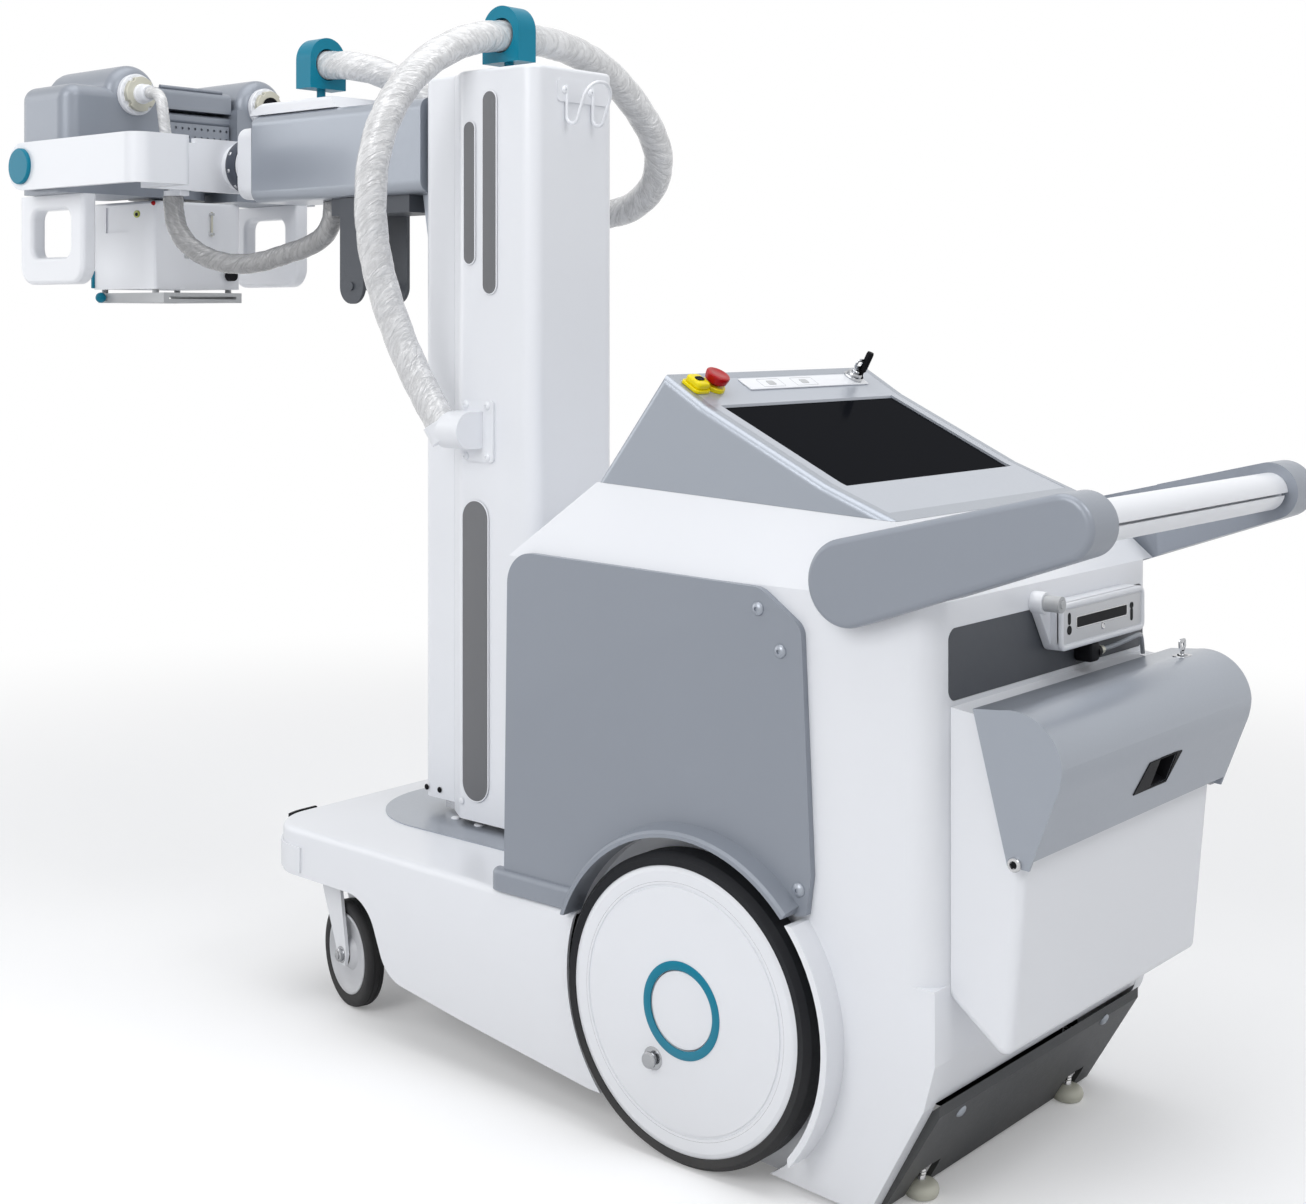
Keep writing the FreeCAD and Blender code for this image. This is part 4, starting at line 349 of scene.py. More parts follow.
def tone_group():
    """Paint whose tone drifts a little and gathers dust low down:
    colour = mix(base, dust, amount * noise * falling height) * (1 + drift * (noise - 0.5))."""
    group, given, sink = new_group(
        "machine_tone",
        [("Base", "Color", (0.8, 0.8, 0.8, 1)), ("Dust", "Color", (0.35, 0.33, 0.30, 1)), ("Dusting", "Float", 0.3),
         ("Drift", "Float", 0.06), ("Scale", "Float", 6.0)],
        [("Color", "Color"), ("Mask", "Float")])
    place_at = add(group, "TexCoord").outputs["Object"]
    broad = add(group, "TexNoise", {"Vector": place_at, "Scale": given["Scale"], "Detail": 3.0}).outputs["Fac"]
    height = add(group, "SeparateXYZ", {0: place_at}).outputs["Z"]
    fall = add(group, "MapRange", {"Value": height, "From Min": 0.30, "From Max": 0.0, "To Min": 0.0, "To Max": 1.0})
    mask = maths(group, "MULTIPLY", maths(group, "MULTIPLY", fall.outputs[0], given["Dusting"]), broad)
    soiled = add(group, "Mix", {"Factor": mask, "A": given["Base"], "B": given["Dust"]}, data_type="RGBA")
    scaled = maths(group, "MULTIPLY_ADD", maths(group, "SUBTRACT", broad, 0.5), given["Drift"], 1.0)
    final = add(group, "VectorMath", {0: soiled.outputs["Result"], "Scale": scaled}, operation="SCALE")
    group.links.new(final.outputs[0], sink["Color"])
    group.links.new(mask, sink["Mask"])
    return group


def grain_group():
    """Fine relief and uneven gloss: height = noise(scale), roughness = rough + spread * (noise(scale / 12) - 0.5).
    Stretch multiplies the coordinates, so a large value on one axis draws brushed lines."""
    group, given, sink = new_group(
        "machine_grain",
        [("Scale", "Float", 900.0), ("Depth", "Float", 0.1), ("Rough", "Float", 0.4), ("Spread", "Float", 0.1),
         ("Stretch", "Vector", (1, 1, 1))],
        [("Normal", "Vector"), ("Roughness", "Float")])
    place_at = add(group, "TexCoord").outputs["Object"]
    pull = add(group, "VectorMath", {0: place_at, 1: given["Stretch"]}, operation="MULTIPLY").outputs[0]
    fine = add(group, "TexNoise", {"Vector": pull, "Scale": given["Scale"], "Detail": 2.0}).outputs["Fac"]
    relief = add(group, "Bump", {"Distance": 0.0006, "Height": fine, "Strength": given["Depth"]})
    lower = maths(group, "DIVIDE", given["Scale"], 12.0)
    broad = add(group, "TexNoise", {"Vector": pull, "Scale": lower, "Detail": 4.0}).outputs["Fac"]
    gloss = maths(group, "MULTIPLY_ADD", maths(group, "SUBTRACT", broad, 0.5), given["Spread"], given["Rough"])
    group.links.new(relief.outputs[0], sink["Normal"])
    group.links.new(gloss, sink["Roughness"])
    return group


GROUPS = {}
MADE = {}


def material(name, base, rough, metallic=0.0, coat=0.0, scale=900.0, depth=0.08, spread=0.08, dusting=0.3,
             drift=0.05, tone_scale=5.0, stretch=(1, 1, 1), specular=0.5):
    """A Principled surface with the shared tone and grain groups, made once for each name."""
    if name in MADE:
        return MADE[name]
    if not GROUPS:
        GROUPS["tone"] = tone_group()
        GROUPS["grain"] = grain_group()
    made = bpy.data.materials.new(name)
    made.use_nodes = True
    tree = made.node_tree
    surface = tree.nodes["Principled BSDF"].inputs
    tone = add(tree, "Group", {"Base": (*base, 1), "Dusting": dusting, "Drift": drift, "Scale": tone_scale},
               node_tree=GROUPS["tone"]).outputs
    grain = add(tree, "Group", {"Scale": scale, "Depth": depth, "Rough": rough, "Spread": spread, "Stretch": stretch},
                node_tree=GROUPS["grain"]).outputs
    for label, made_by in (("Base Color", tone["Color"]), ("Normal", grain["Normal"]),
                           ("Roughness", grain["Roughness"])):
        tree.links.new(made_by, surface[label])
    for label, amount in (("Metallic", metallic), ("Coat Weight", coat), ("Coat Roughness", 0.12),
                          ("Specular IOR Level", specular)):
        surface[label].default_value = amount
    MADE[name] = made
    return made


def white():
    return material("white_enamel", finish().white, 0.30, coat=0.2, scale=420, depth=0.06, drift=0.015, dusting=0.25,
                    tone_scale=2.2, spread=0.05)


def grey():
    return material("grey_metallic_paint", finish().grey, 0.38, metallic=0.25, coat=0.15, scale=1500, depth=0.14,
                    drift=0.05, tone_scale=3.0)


def silver():
    return material("silver_metallic_paint", finish().silver, 0.33, metallic=0.55, coat=0.25, scale=1500, depth=0.14,
                    drift=0.05, tone_scale=3.0)


def light_silver():
    return material("light_silver_paint", (0.450, 0.480, 0.535), 0.33, metallic=0.3, coat=0.25, scale=1500, depth=0.12,
                    drift=0.04, tone_scale=3.0)


def teal():
    return material("teal_moulding", finish().teal, 0.36, coat=0.08, scale=1100, depth=0.12, specular=0.2)


def dark():
    return material("dark_textured_plastic", finish().dark, 0.50, scale=1100, depth=0.35)


# Painted shade: the rear panel's dark trim made darker for the kick plate, which takes more light than the rear panel.
def shaded_trim_for_kick():
    return material("kick_plate_painted_shade_trim", (0.040, 0.044, 0.049), 0.45, scale=1100, depth=0.3, specular=0.3)


def steel():
    return material("brushed_steel", (0.60, 0.60, 0.61), 0.26, metallic=1.0, scale=500, depth=0.10, stretch=(1, 1, 8))


def chrome():
    return material("polished_chrome", (0.46, 0.47, 0.49), 0.15, metallic=1.0, scale=300, depth=0.02, spread=0.06)


# Black plastic; the same material paints the shade in the socket screws' hex wells.
def black():
    return material("black_plastic", (0.010, 0.010, 0.012), 0.45, scale=1200, depth=0.2, specular=0.07)


def rubber():
    return material("tyre_rubber", finish().rubber, 0.55, scale=1300, depth=0.35, dusting=0.18, spread=0.2,
                    specular=0.15)


# The grey of the column's slot inlays; the same material paints the shade of the drive wheels' rim grooves.
def slot_grey_and_groove_shade():
    return material("slot_grey_plastic_and_groove_shade", (0.165, 0.168, 0.176), 0.50, scale=1300, depth=0.3, specular=0.3)


def pale():
    return material("pale_grey_moulding", (0.50, 0.51, 0.52), 0.42, scale=900, depth=0.25)


def cast_metal():
    return material("cast_light_metal", (0.56, 0.55, 0.47), 0.38, metallic=0.55, scale=700, depth=0.25, spread=0.15)


def yellow():
    return material("yellow_moulding", (0.800, 0.660, 0.002), 0.30, coat=0.12, scale=900, depth=0.06,
                    dusting=0, specular=0.2)


def red():
    return material("red_moulding", (0.400, 0.003, 0.006), 0.30, coat=0.12, scale=900, depth=0.05,
                    dusting=0, specular=0.2)


def cream():
    return material("cream_rubber", (0.66, 0.655, 0.55), 0.45, coat=0.15, scale=700, depth=0.2, dusting=0.2)


def dark_blue():
    return material("dark_hub_paint", (0.060, 0.070, 0.095), 0.35, metallic=0.3, scale=900, depth=0.15)


def screen_glass():
    """Unlit display glass: near black, with only a thin coat's reflection, so that it stays dark."""
    return material("screen_glass", (0.0065, 0.0072, 0.0095), 0.22, coat=0.04, scale=300, depth=0.004, spread=0.03,
                    dusting=0, drift=0.02, specular=0.0)


# The look of each node that isn't white and keeps its own shape
NODE_FINISH = {
    grey: "side_panels handle_arms tube_ends tube_barrel",
    silver: "arm_box arm_carriage console_housing bin_lid deck_inlay",
    light_silver: "console_fascia",
    screen_glass: "touch_screen",
    pale: "collimator_tray hand_switch hand_switch_button",
    teal: "column_clamp arm_clamp tilt_pins",
    dark: "rear_panel parking_latch",
    shaded_trim_for_kick: "kick_plate",
    black: "chassis_frame power_units drive_motors field_knob counterweight",
    steel: "column_mast",
    rubber: "drive_tyre_left drive_tyre_right",
}


def paint(item, made):
    item.data.materials.clear()
    item.data.materials.append(made)
    return item


def place(item, made, body, replaces=()):
    """Gives a finished piece its material and the body it moves with, and hides the nodes it replaces."""
    paint(item, made)
    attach(item, body)
    if replaces:
        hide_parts(*replaces)
    return item


def dome_screw(name, at, axis, radius, height):
    """A domed screw head: r = R cos(a), h = H sin(a), with a small drive recess in the middle."""
    turn = np.linspace(0, PI / 2 * 0.8, 6)
    dome = np.stack([radius * np.cos(turn), height * np.sin(turn)], 1)
    well = [(radius * 0.3, height * 0.95), (radius * 0.26, height * 0.5), (0, height * 0.45)]
    return lathe(name, [(0, -0.0006), (radius, -0.0006), *dome.tolist(), *well], at, axis, 24)


def socket_screw(name, at, axis, radius, height, body, made):
    """A pan head with a hexagonal well: the head is turned, and a black six-sided plate set into it paints the shade
    inside the well.
    """
    profile = [(0, -0.0006), (radius, -0.0006), (radius, height * 0.6), (radius * 0.86, height * 0.95),
               (radius * 0.55, height), (radius * 0.55, height * 0.55), (0, height * 0.55)]
    place(lathe(name, profile, at, axis, 28), made, body)
    side, _, along = axis_frame(axis)
    turn = np.arange(6) * TAU / 6
    outline = np.stack([np.cos(turn), np.sin(turn)], 1) * radius * 0.54
    # Painted shade: the black hexagon stands for the shade in the head's drive socket.
    well = plate(name + "_hex_shade", outline, lay_on(at, side, np.cross(along, side)), height * 0.5, height * 0.72)
    place(well, black(), body)


# Cords

CABLE_SLEEVE = [
    (-0.104, -0.150, 1.046), (-0.136, -0.168, 1.108), (-0.166, -0.196, 1.196), (-0.180, -0.232, 1.298),
    (-0.175, -0.264, 1.392), (-0.158, -0.284, 1.482), (-0.139, -0.285, 1.569), (-0.120, -0.262, 1.642),
    (-0.100, -0.215, 1.705), (-0.086, -0.140, 1.752), (-0.072, -0.065, 1.774), (-0.066, 0.025, 1.776),
    (-0.060, 0.113, 1.772), (-0.056, 0.198, 1.752), (-0.055, 0.275, 1.714), (-0.054, 0.340, 1.662),
    (-0.055, 0.383, 1.617), (-0.061, 0.408, 1.574), (-0.079, 0.419, 1.531), (-0.111, 0.418, 1.495),
    (-0.154, 0.408, 1.471), (-0.210, 0.388, 1.462), (-0.277, 0.356, 1.470), (-0.345, 0.313, 1.499),
    (-0.401, 0.261, 1.547), (-0.435, 0.203, 1.607), (-0.446, 0.146, 1.668), (-0.462, 0.098, 1.720),
    (-0.502, 0.046, 1.755), (-0.575, 0.0, 1.772), (-0.6467, 0.0, 1.772),
]
HEAD_SLEEVE = [
    (-0.948, -0.139, 1.5083), (-0.948, -0.139, 1.460), (-0.922, -0.130, 1.410), (-0.874, -0.112, 1.378),
    (-0.814, -0.088, 1.362), (-0.752, -0.062, 1.366), (-0.695, -0.038, 1.384), (-0.636, -0.014, 1.402),
    (-0.592, 0.0, 1.440), (-0.592, 0.0, 1.4897),
]
HV_CABLE = [
    (-0.9877, -0.172, 1.728), (-0.963, -0.172, 1.728), (-0.945, -0.171, 1.711), (-0.943, -0.169, 1.686),
    (-0.943, -0.163, 1.642), (-0.945, -0.152, 1.596), (-0.948, -0.139, 1.552), (-0.948, -0.139, 1.5086),
]
DETECTOR_CABLE = [
    (1.0613, 0.118, 0.748), (1.062, 0.146, 0.748), (1.073, 0.178, 0.756), (1.075, 0.212, 0.760),
    (1.066, 0.240, 0.754), (1.062, 0.252, 0.724),
]


def centre_line(points, resolution=16):
    """The NURBS line of order 3 through a route's control points, as an (n, 3) array."""
    curve = bpy.data.curves.new("route", "CURVE")
    curve.dimensions = "3D"
    spline = curve.splines.new("NURBS")
    spline.points.add(len(points) - 1)
    spline.points.foreach_set("co", np.c_[points, np.ones(len(points))].ravel())
    spline.order_u = 3
    spline.use_endpoint_u = True
    spline.resolution_u = resolution
    holder = bpy.data.objects.new("route", curve)
    bpy.context.scene.collection.objects.link(holder)
    mesh = bpy.data.meshes.new_from_object(holder)
    line = np.array([v.co for v in mesh.vertices])
    bpy.data.objects.remove(holder)
    return line


def run_along(line):
    """The length run along the line up to each of its points."""
    return np.r_[0, np.cumsum(np.linalg.norm(np.diff(line, axis=0), axis=1))]


def even_line(line, spacing):
    """The line read again at even steps, with its length."""
    run = run_along(line)
    at = np.linspace(0, run[-1], max(8, int(run[-1] / spacing)))
    return np.stack([np.interp(at, run, line[:, k]) for k in range(3)], 1), run[-1]


def line_frames(line):
    """A side and an upward unit vector at each point, carried along the line with the least twist."""
    ahead = np.gradient(line, axis=0)
    ahead /= np.linalg.norm(ahead, axis=1, keepdims=True)
    side = np.empty_like(ahead)
    side[0] = axis_frame(ahead[0])[0]
    for k in range(1, len(ahead)):
        across = side[k - 1] - (side[k - 1] @ ahead[k]) * ahead[k]
        side[k] = across / np.linalg.norm(across)
    return side, np.cross(ahead, side)


def skin_on(name, line, radius, steps=28):
    """A tube on a line: p(s, t) = line(s) + radius(s, t) (cos t side + sin t up), its ends closed. The attribute
    straight keeps each point's place on the tube pulled straight, (r cos t, r sin t, s + 0.9 r sin(t + 0.6)),
    whose slant lets a pattern run obliquely round it."""
    side, up = line_frames(line)
    turn = np.linspace(0, TAU, steps, endpoint=False)
    along = np.linspace(0, 1, len(line))
    reach = radius(along[:, None], turn[None, :]) * np.ones((len(line), steps))
    ring = np.cos(turn)[None, :, None] * side[:, None] + np.sin(turn)[None, :, None] * up[:, None]
    points = (line[:, None] + reach[..., None] * ring).reshape(-1, 3)
    faces = grid_faces(len(line), steps)
    faces += [tuple(range(steps))[::-1], tuple(range(len(points) - steps, len(points)))]
    item = put_mesh(name, points, faces)
    run = run_along(line)
    width = float(np.mean(reach))
    whole = np.ones((len(line), 1))
    straight = np.stack([width * np.cos(turn)[None, :] * whole, width * np.sin(turn)[None, :] * whole,
                         run[:, None] + 0.9 * width * np.sin(turn + 0.6)[None, :]], -1)
    layer = item.data.attributes.new("straight", "FLOAT_VECTOR", "POINT")
    layer.data.foreach_set("vector", straight.astype(np.float32).ravel())
    return item


def sleeve_radius(radius, length, pitch, depth, seed):
    """A loose cloth sleeve: radius (1 - depth * slow puffs - 0.6 depth * short slanting creases), where the puffs
    are |sin| of a phase that wanders along and round the sleeve."""
    phases = np.random.default_rng(seed).uniform(0, TAU, 6)

    def reach(along, turn):
        s = along * length
        slant = s / pitch + 0.42 * np.sin(turn + 0.6)
        wander = 0.30 * np.sin(s / pitch * 0.37 + phases[0]) + 0.14 * np.sin(s / pitch * 1.31 + 2 * turn + phases[1])
        puff = np.abs(np.sin(PI * (slant + wander)))
        crease = np.abs(np.sin(PI * (3.1 * slant + 0.5 * np.sin(2 * turn + phases[2]) + 2.3 * wander)))
        patch = 0.5 + 0.5 * np.sin(s / pitch * 2.1 + turn * 1.0 + phases[3])
        ends = np.clip(np.minimum(s, length - s) / 0.02, 0, 1)
        return radius * (1 - ends * depth * ((1 - puff ** 0.6) + 0.6 * patch * (1 - crease ** 0.5)))

    return reach


def crease_group():
    """Wrinkled coated cloth on the straightened tube's coordinates: ridges where two stretched noises cross their
    middle value, height = |n1 - 0.5| + 0.5 |n2 - 0.5|; Mask is 1 in the creases and falls to 0 on the puffs, and
    the sleeve uses it to paint shade into the folds."""
    group, given, sink = new_group(
        "machine_crease", [("Scale", "Float", 1.0), ("Depth", "Float", 0.6)], [("Normal", "Vector"), ("Mask", "Float")])
    straight = add(group, "Attribute", attribute_name="straight", attribute_type="GEOMETRY").outputs["Vector"]
    scaled = add(group, "VectorMath", {0: straight, "Scale": given["Scale"]}, operation="SCALE").outputs[0]
    parts = []
    for stretch, weight in (((20, 20, 60), 1.0), ((52, 52, 120), 0.35)):
        pull = add(group, "VectorMath", {0: scaled, 1: stretch}, operation="MULTIPLY").outputs[0]
        noise = add(group, "TexNoise", {"Vector": pull, "Scale": 1.0, "Detail": 3.0, "Roughness": 0.55,
                                        "Distortion": 0.6})
        ridge = maths(group, "ABSOLUTE", maths(group, "SUBTRACT", noise.outputs["Fac"], 0.5))
        parts.append(maths(group, "MULTIPLY", ridge, weight))
    height = maths(group, "ADD", *parts)
    relief = add(group, "Bump", {"Distance": 0.012, "Height": height, "Strength": given["Depth"]})
    mask = add(group, "MapRange", {"Value": height, "From Min": 0.0, "From Max": 0.10, "To Min": 1.0, "To Max": 0.0})
    group.links.new(relief.outputs[0], sink["Normal"])
    group.links.new(mask.outputs[0], sink["Mask"])
    return group


def sleeve_material(name, share):
    """Silver-grey coated cloth: slanting creases, with painted shade that darkens their folds, and an uneven gloss.
    The share of the sleeve colour makes a darker cloth."""
    if name in MADE:
        return MADE[name]
    base = tuple(share * c for c in finish().sleeve)
    made = material(name, base, 0.22, metallic=0.10, coat=0.55, scale=500, depth=0.1, spread=0.2, dusting=0,
                    drift=0.10, tone_scale=30)
    tree = made.node_tree
    surface = tree.nodes["Principled BSDF"].inputs
    crease = add(tree, "Group", {"Depth": 0.70}, node_tree=crease_group()).outputs
    tone = surface["Base Color"].links[0].from_socket
    # Painted shade: the crease mask darkens the cloth towards 0.62 of its colour in the folds.
    fold_shade_share = maths(tree, "MULTIPLY", crease["Mask"], 0.55)
    fold_shade_mix = add(tree, "Mix", {"Factor": fold_shade_share, "A": tone, "B": (*[0.62 * c for c in base], 1)}, data_type="RGBA")
    tree.links.new(fold_shade_mix.outputs["Result"], surface["Base Color"])
    tree.links.new(crease["Normal"], surface["Normal"])
    return made


def make_sleeve(name, route, radius, pitch, depth, seed, spacing, share=1.0):
    """A cloth sleeve along a route, with its line at even steps and its length."""
    line, length = even_line(centre_line(route), spacing)
    item = skin_on(name, line, sleeve_radius(radius, length, pitch, depth, seed), steps=48)
    paint(item, sleeve_material("sleeve_cloth" if share == 1 else "dark_sleeve_cloth", share))
    return item, line, length


class MACHINE_OT_cables(bpy.types.Operator):
    """Cable sleeves, the high voltage cable and the detector's cable, each along its own line"""
    bl_idname = "machine.cables"
    bl_label = "Cables and Sleeves"

    def execute(self, context):
        item, line, length = make_sleeve("column_cable_sleeve", CABLE_SLEEVE, 0.0296, 0.060, 0.055, 3, 0.0035)
        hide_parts("cable_sleeve")
        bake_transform(item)
        item, line, length = make_sleeve("tube_cable_sleeve", HEAD_SLEEVE, 0.0214, 0.044, 0.060, 5, 0.0028, 0.48)
        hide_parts("head_sleeve")
        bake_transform(item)
        line, length = even_line(centre_line(HV_CABLE), 0.003)
        item = skin_on("tube_hv_cable", line, lambda s, t: 0.012 + 0.0006 * np.sin(s * 90) ** 2, 24)
        paint(item, sleeve_material("sleeve_cloth", 1.0))
        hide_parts("hv_cable")
        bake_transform(item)
        line, length = even_line(centre_line(DETECTOR_CABLE), 0.002)
        item = skin_on("detector_lead", line, lambda s, t: 0.0035 + 0 * s, 16)
        place(item, material("grey_cable_jacket", (0.33, 0.35, 0.38), 0.4, scale=800, depth=0.1), "chassis",
              ["detector_cable"])
        return {"FINISHED"}


class MACHINE_OT_finishes(bpy.types.Operator):
    """Paint, plastic, rubber and metal on the pieces that keep the frame's own shape"""
    bl_idname = "machine.finishes"
    bl_label = "Finishes"

    def execute(self, context):
        made = {name: make() for make, names in NODE_FINISH.items() for name in names.split()}
        for name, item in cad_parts.items():
            paint(item, made.get(name) or white())
            item.data.polygons.foreach_set("use_smooth", [True] * len(item.data.polygons))
        return {"FINISHED"}


class MACHINE_OT_wheels(bpy.types.Operator):
    """Teal hub rings, grey rings of painted shade for the rim grooves, and release knobs on the drive wheels, and the
    casters' tyres, rims and nuts
    """
    bl_idname = "machine.wheels"
    bl_label = "Wheels"

    def execute(self, context):
        outer = sizes().ring_radius
        for side, sign in SIDES:
            self.drive_wheel(side, sign, outer)
            self.caster(side, sign)
        return {"FINISHED"}

    def drive_wheel(self, side, sign, outer):
        face = (0.632, sign * WHEEL_FACE, 0.230)
        out = (0, sign, 0)
        body = "drive_wheel_" + side
        profile = [(outer - 0.013, -0.0015), (outer - 0.013, 0.0012), (outer - 0.0105, 0.0024),
                   (outer - 0.0025, 0.0024), (outer, 0.0012), (outer, -0.0015), (outer - 0.013, -0.0015)]
        place(lathe("hub_ring_" + side, profile, face, out, 96), teal(), body)
        # Painted shade: the rim's groove is a thin grey ring standing a little proud, its grey standing in for the
        # groove's shade.
        groove_shade_section = [(0.1868, -0.001), (0.1868, 0.0002), (0.1874, 0.0004), (0.1882, 0.0002), (0.1882, -0.001),
                  (0.1868, -0.001)]
        place(lathe("painted_groove_shade_" + side, groove_shade_section, face, out, 128), slot_grey_and_groove_shade(), body)
        at = (0.578, sign * WHEEL_FACE, 0.146)
        seat = [(0, -0.0006), (0.0175, -0.0006), (0.0175, 0.0008), (0.0160, 0.0014), (0, 0.0014)]
        knob = [(0, 0.001), (0.0080, 0.001), (0.0078, 0.006), (0.0115, 0.0068), (0.0122, 0.0078), (0.0122, 0.0118),
                (0.0108, 0.0134), (0.0060, 0.0140), (0, 0.0140)]
        place(joined("release_knob_" + side, [lathe("seat", seat, at, out, 40), lathe("knob", knob, at, out, 40)]),
              chrome(), body)

    def caster(self, side, sign):
        swing = math.radians(15)
        hub = (-0.286 + 0.055 * math.cos(swing), sign * 0.241 - 0.055 * math.sin(swing), 0.095)
        axle = (math.sin(swing), math.cos(swing), 0)
        half = [(0.0722, -0.0145), (0.0780, -0.0160), (0.0870, -0.0168), (0.0920, -0.0145), (0.0944, -0.0100),
                (0.0950, -0.0062), (0.0938, -0.0056), (0.0938, -0.0044), (0.0950, -0.0038)]
        section = mirrored(half)
        tyre = lathe("caster_tyre_" + side, section, hub, axle, 72, 50)
        place(tyre, rubber(), "caster_wheel_" + side, ["caster_wheel_" + side])
        half = [(0.0073, -0.0180), (0.0160, -0.0180), (0.0215, -0.0165), (0.0260, -0.0120), (0.0300, -0.0075),
                (0.0420, -0.0060), (0.0560, -0.0068), (0.0640, -0.0105), (0.0672, -0.0155), (0.0700, -0.0162),
                (0.0718, -0.0150)]
        section = mirrored(half)
        rim = lathe("caster_rim_" + side, section, hub, axle, 72)
        pale_rim = material("pale_rim_moulding", (0.60, 0.615, 0.65), 0.38, coat=0.1, scale=700, depth=0.2,
                            dusting=0.6)
        place(rim, pale_rim, "caster_wheel_" + side)
        guard = [(0.0073, 0.0178), (0.0190, 0.0178), (0.0190, 0.0188), (0.0073, 0.0188), (0.0073, 0.0178)]
        guards = [lathe("guard", [(r, sign2 * h) for r, h in guard], hub, axle, 40) for sign2 in (-1, 1)]
        place(joined("caster_guards_" + side, guards), black(), "caster_wheel_" + side)
        nuts = []
        for way in (-1, 1):
            nut = [(0, 0.0250), (0.0150, 0.0250), (0.0150, 0.0268), (0.0118, 0.0274), (0.0118, 0.0322),
                   (0.0100, 0.0336), (0.0072, 0.0338), (0.0072, 0.0352), (0.0055, 0.0362), (0, 0.0364)]
            nuts.append(lathe("nut", [(r, way * h) for r, h in nut], hub, axle, 32))
        place(joined("caster_nuts_" + side, nuts), chrome(), "caster_fork_" + side)


class MACHINE_OT_base(bpy.types.Operator):
    """Deck buttons, the nose's rubber inserts, the parking feet and the kick plate's screws"""
    bl_idname = "machine.base"
    bl_label = "Base Trim"

    def execute(self, context):
        buttons = []
        for x, y in ((-0.132, -0.0955), (-0.066, -0.1005), (-0.132, 0.0955), (-0.066, 0.1005)):
            cap = [(0, -0.0004), (0.0095, -0.0004), (0.0095, 0.0014), (0.0080, 0.0026), (0.0045, 0.0030), (0, 0.0031)]
            buttons.append(lathe("button", cap, (x, y, 0.324), Z_AXIS, 28))
        place(joined("deck_buttons", buttons), white(), "chassis")
        inserts = []
        turn = np.radians(np.linspace(180, 203, 8))
        ways = np.stack([np.cos(turn), np.sin(turn)], 1)
        for sign in (-1, 1):
            middle = np.array([-0.314, -0.238])
            outer = np.concatenate([[[-0.4054, -0.204]], middle + ways * 0.0914])
            inner = np.concatenate([[[-0.3990, -0.204]], middle + ways * 0.0850])
            outline = np.concatenate([outer, inner[::-1]]) * (1, -sign)
            inserts.append(plate("insert", outline, lay_z, 0.3040, 0.3228, 0.0008))
        place(joined("nose_inserts", inserts), black(), "chassis")
        feet = []
        for sign in (-1, 1):
            at = (0.949, sign * 0.218, 0.0)
            dome = [(0, 0.0), (0.0175, 0.0), (0.0225, 0.0025), (0.0250, 0.0075), (0.0255, 0.0120), (0.0240, 0.0175),
                    (0.0200, 0.0215), (0.0130, 0.0240), (0.0080, 0.0245), (0, 0.0245)]
            feet.append(lathe("foot", dome, at, Z_AXIS, 48))
        place(joined("foot_pads", feet), cream(), "feet", ["parking_feet"])
        stems = []
        for sign in (-1, 1):
            thread = np.linspace(0.030, 0.118, 89)
            ridge = 0.0062 + 0.0006 * np.sin(thread / 0.004 * TAU)
            stem = [(0, 0.022), (0.0062, 0.022), *np.stack([ridge, thread], 1).tolist(), (0.0062, 0.126), (0, 0.126)]
            stems.append(lathe("stem", stem, (0.949, sign * 0.218, 0.0), Z_AXIS, 24))
            nut = rounded([(0.013 * math.cos(a), 0.013 * math.sin(a)) for a in np.arange(6) * TAU / 6], 0.001, 2)
            lay = lay_on((0.949, sign * 0.218, 0.0), X_AXIS, Y_AXIS)
            stems.append(plate("nut", nut, lay, 0.044, 0.054, 0.001))
        place(joined("foot_stems", stems), steel(), "feet")
        slope = (0.8605, 0, -0.5095)
        heads = [dome_screw("head", (x, y, z), slope, 0.0098, 0.0050)
                 for x, y, z in ((1.0206, -0.230, 0.1445), (1.0266, 0.190, 0.1546))]
        place(joined("kick_screws", heads), silver(), "chassis")
        return {"FINISHED"}


class MACHINE_OT_screws(bpy.types.Operator):
    """Domed and countersunk screws on the side panels, the column and the cable boss"""
    bl_idname = "machine.screws"
    bl_label = "Screws"

    def execute(self, context):
        size = sizes().screw_radius
        for side, sign in SIDES:
            spots = [(0.752, 0.832), (0.792, 0.775), (0.824, 0.440)]
            heads = [dome_screw("head", (x, sign * PANEL_FACE, z), (0, sign, 0), size, 0.006) for x, z in spots]
            place(joined("panel_screws_" + side, heads), silver(), "chassis")
        heads = [dome_screw("head", (x, -0.1176, z), (0, -1, 0), 0.0078, 0.0040)
                 for x, z in ((-0.084, 1.093), (-0.029, 1.092), (-0.084, 0.999), (-0.029, 0.999))]
        heads += [dome_screw("head", (0.0828, y, 1.663), X_AXIS, 0.0078, 0.0045) for y in (-0.031, 0.039)]
        heads += [dome_screw("head", (-0.099, sign * 0.1145, 0.365), (0, sign, 0), 0.0062, 0.0016) for sign in (-1, 1)]
        place(joined("column_screws", heads), white(), "column")
        heads = [dome_screw("head", (x, sign * 0.0818, 0.364), (0, sign, 0), 0.0055, 0.0012)
                 for x in (-0.2265, -0.1916) for sign in (-1, 1)]
        place(joined("cover_screws", heads), black(), "column")
        for side, sign in SIDES:
            at = (1.148, sign * 0.3058, 0.530)
            socket_screw("lid_pivot_" + side, at, (0, sign, 0), 0.0100, 0.0058, "lid", steel())
        return {"FINISHED"}


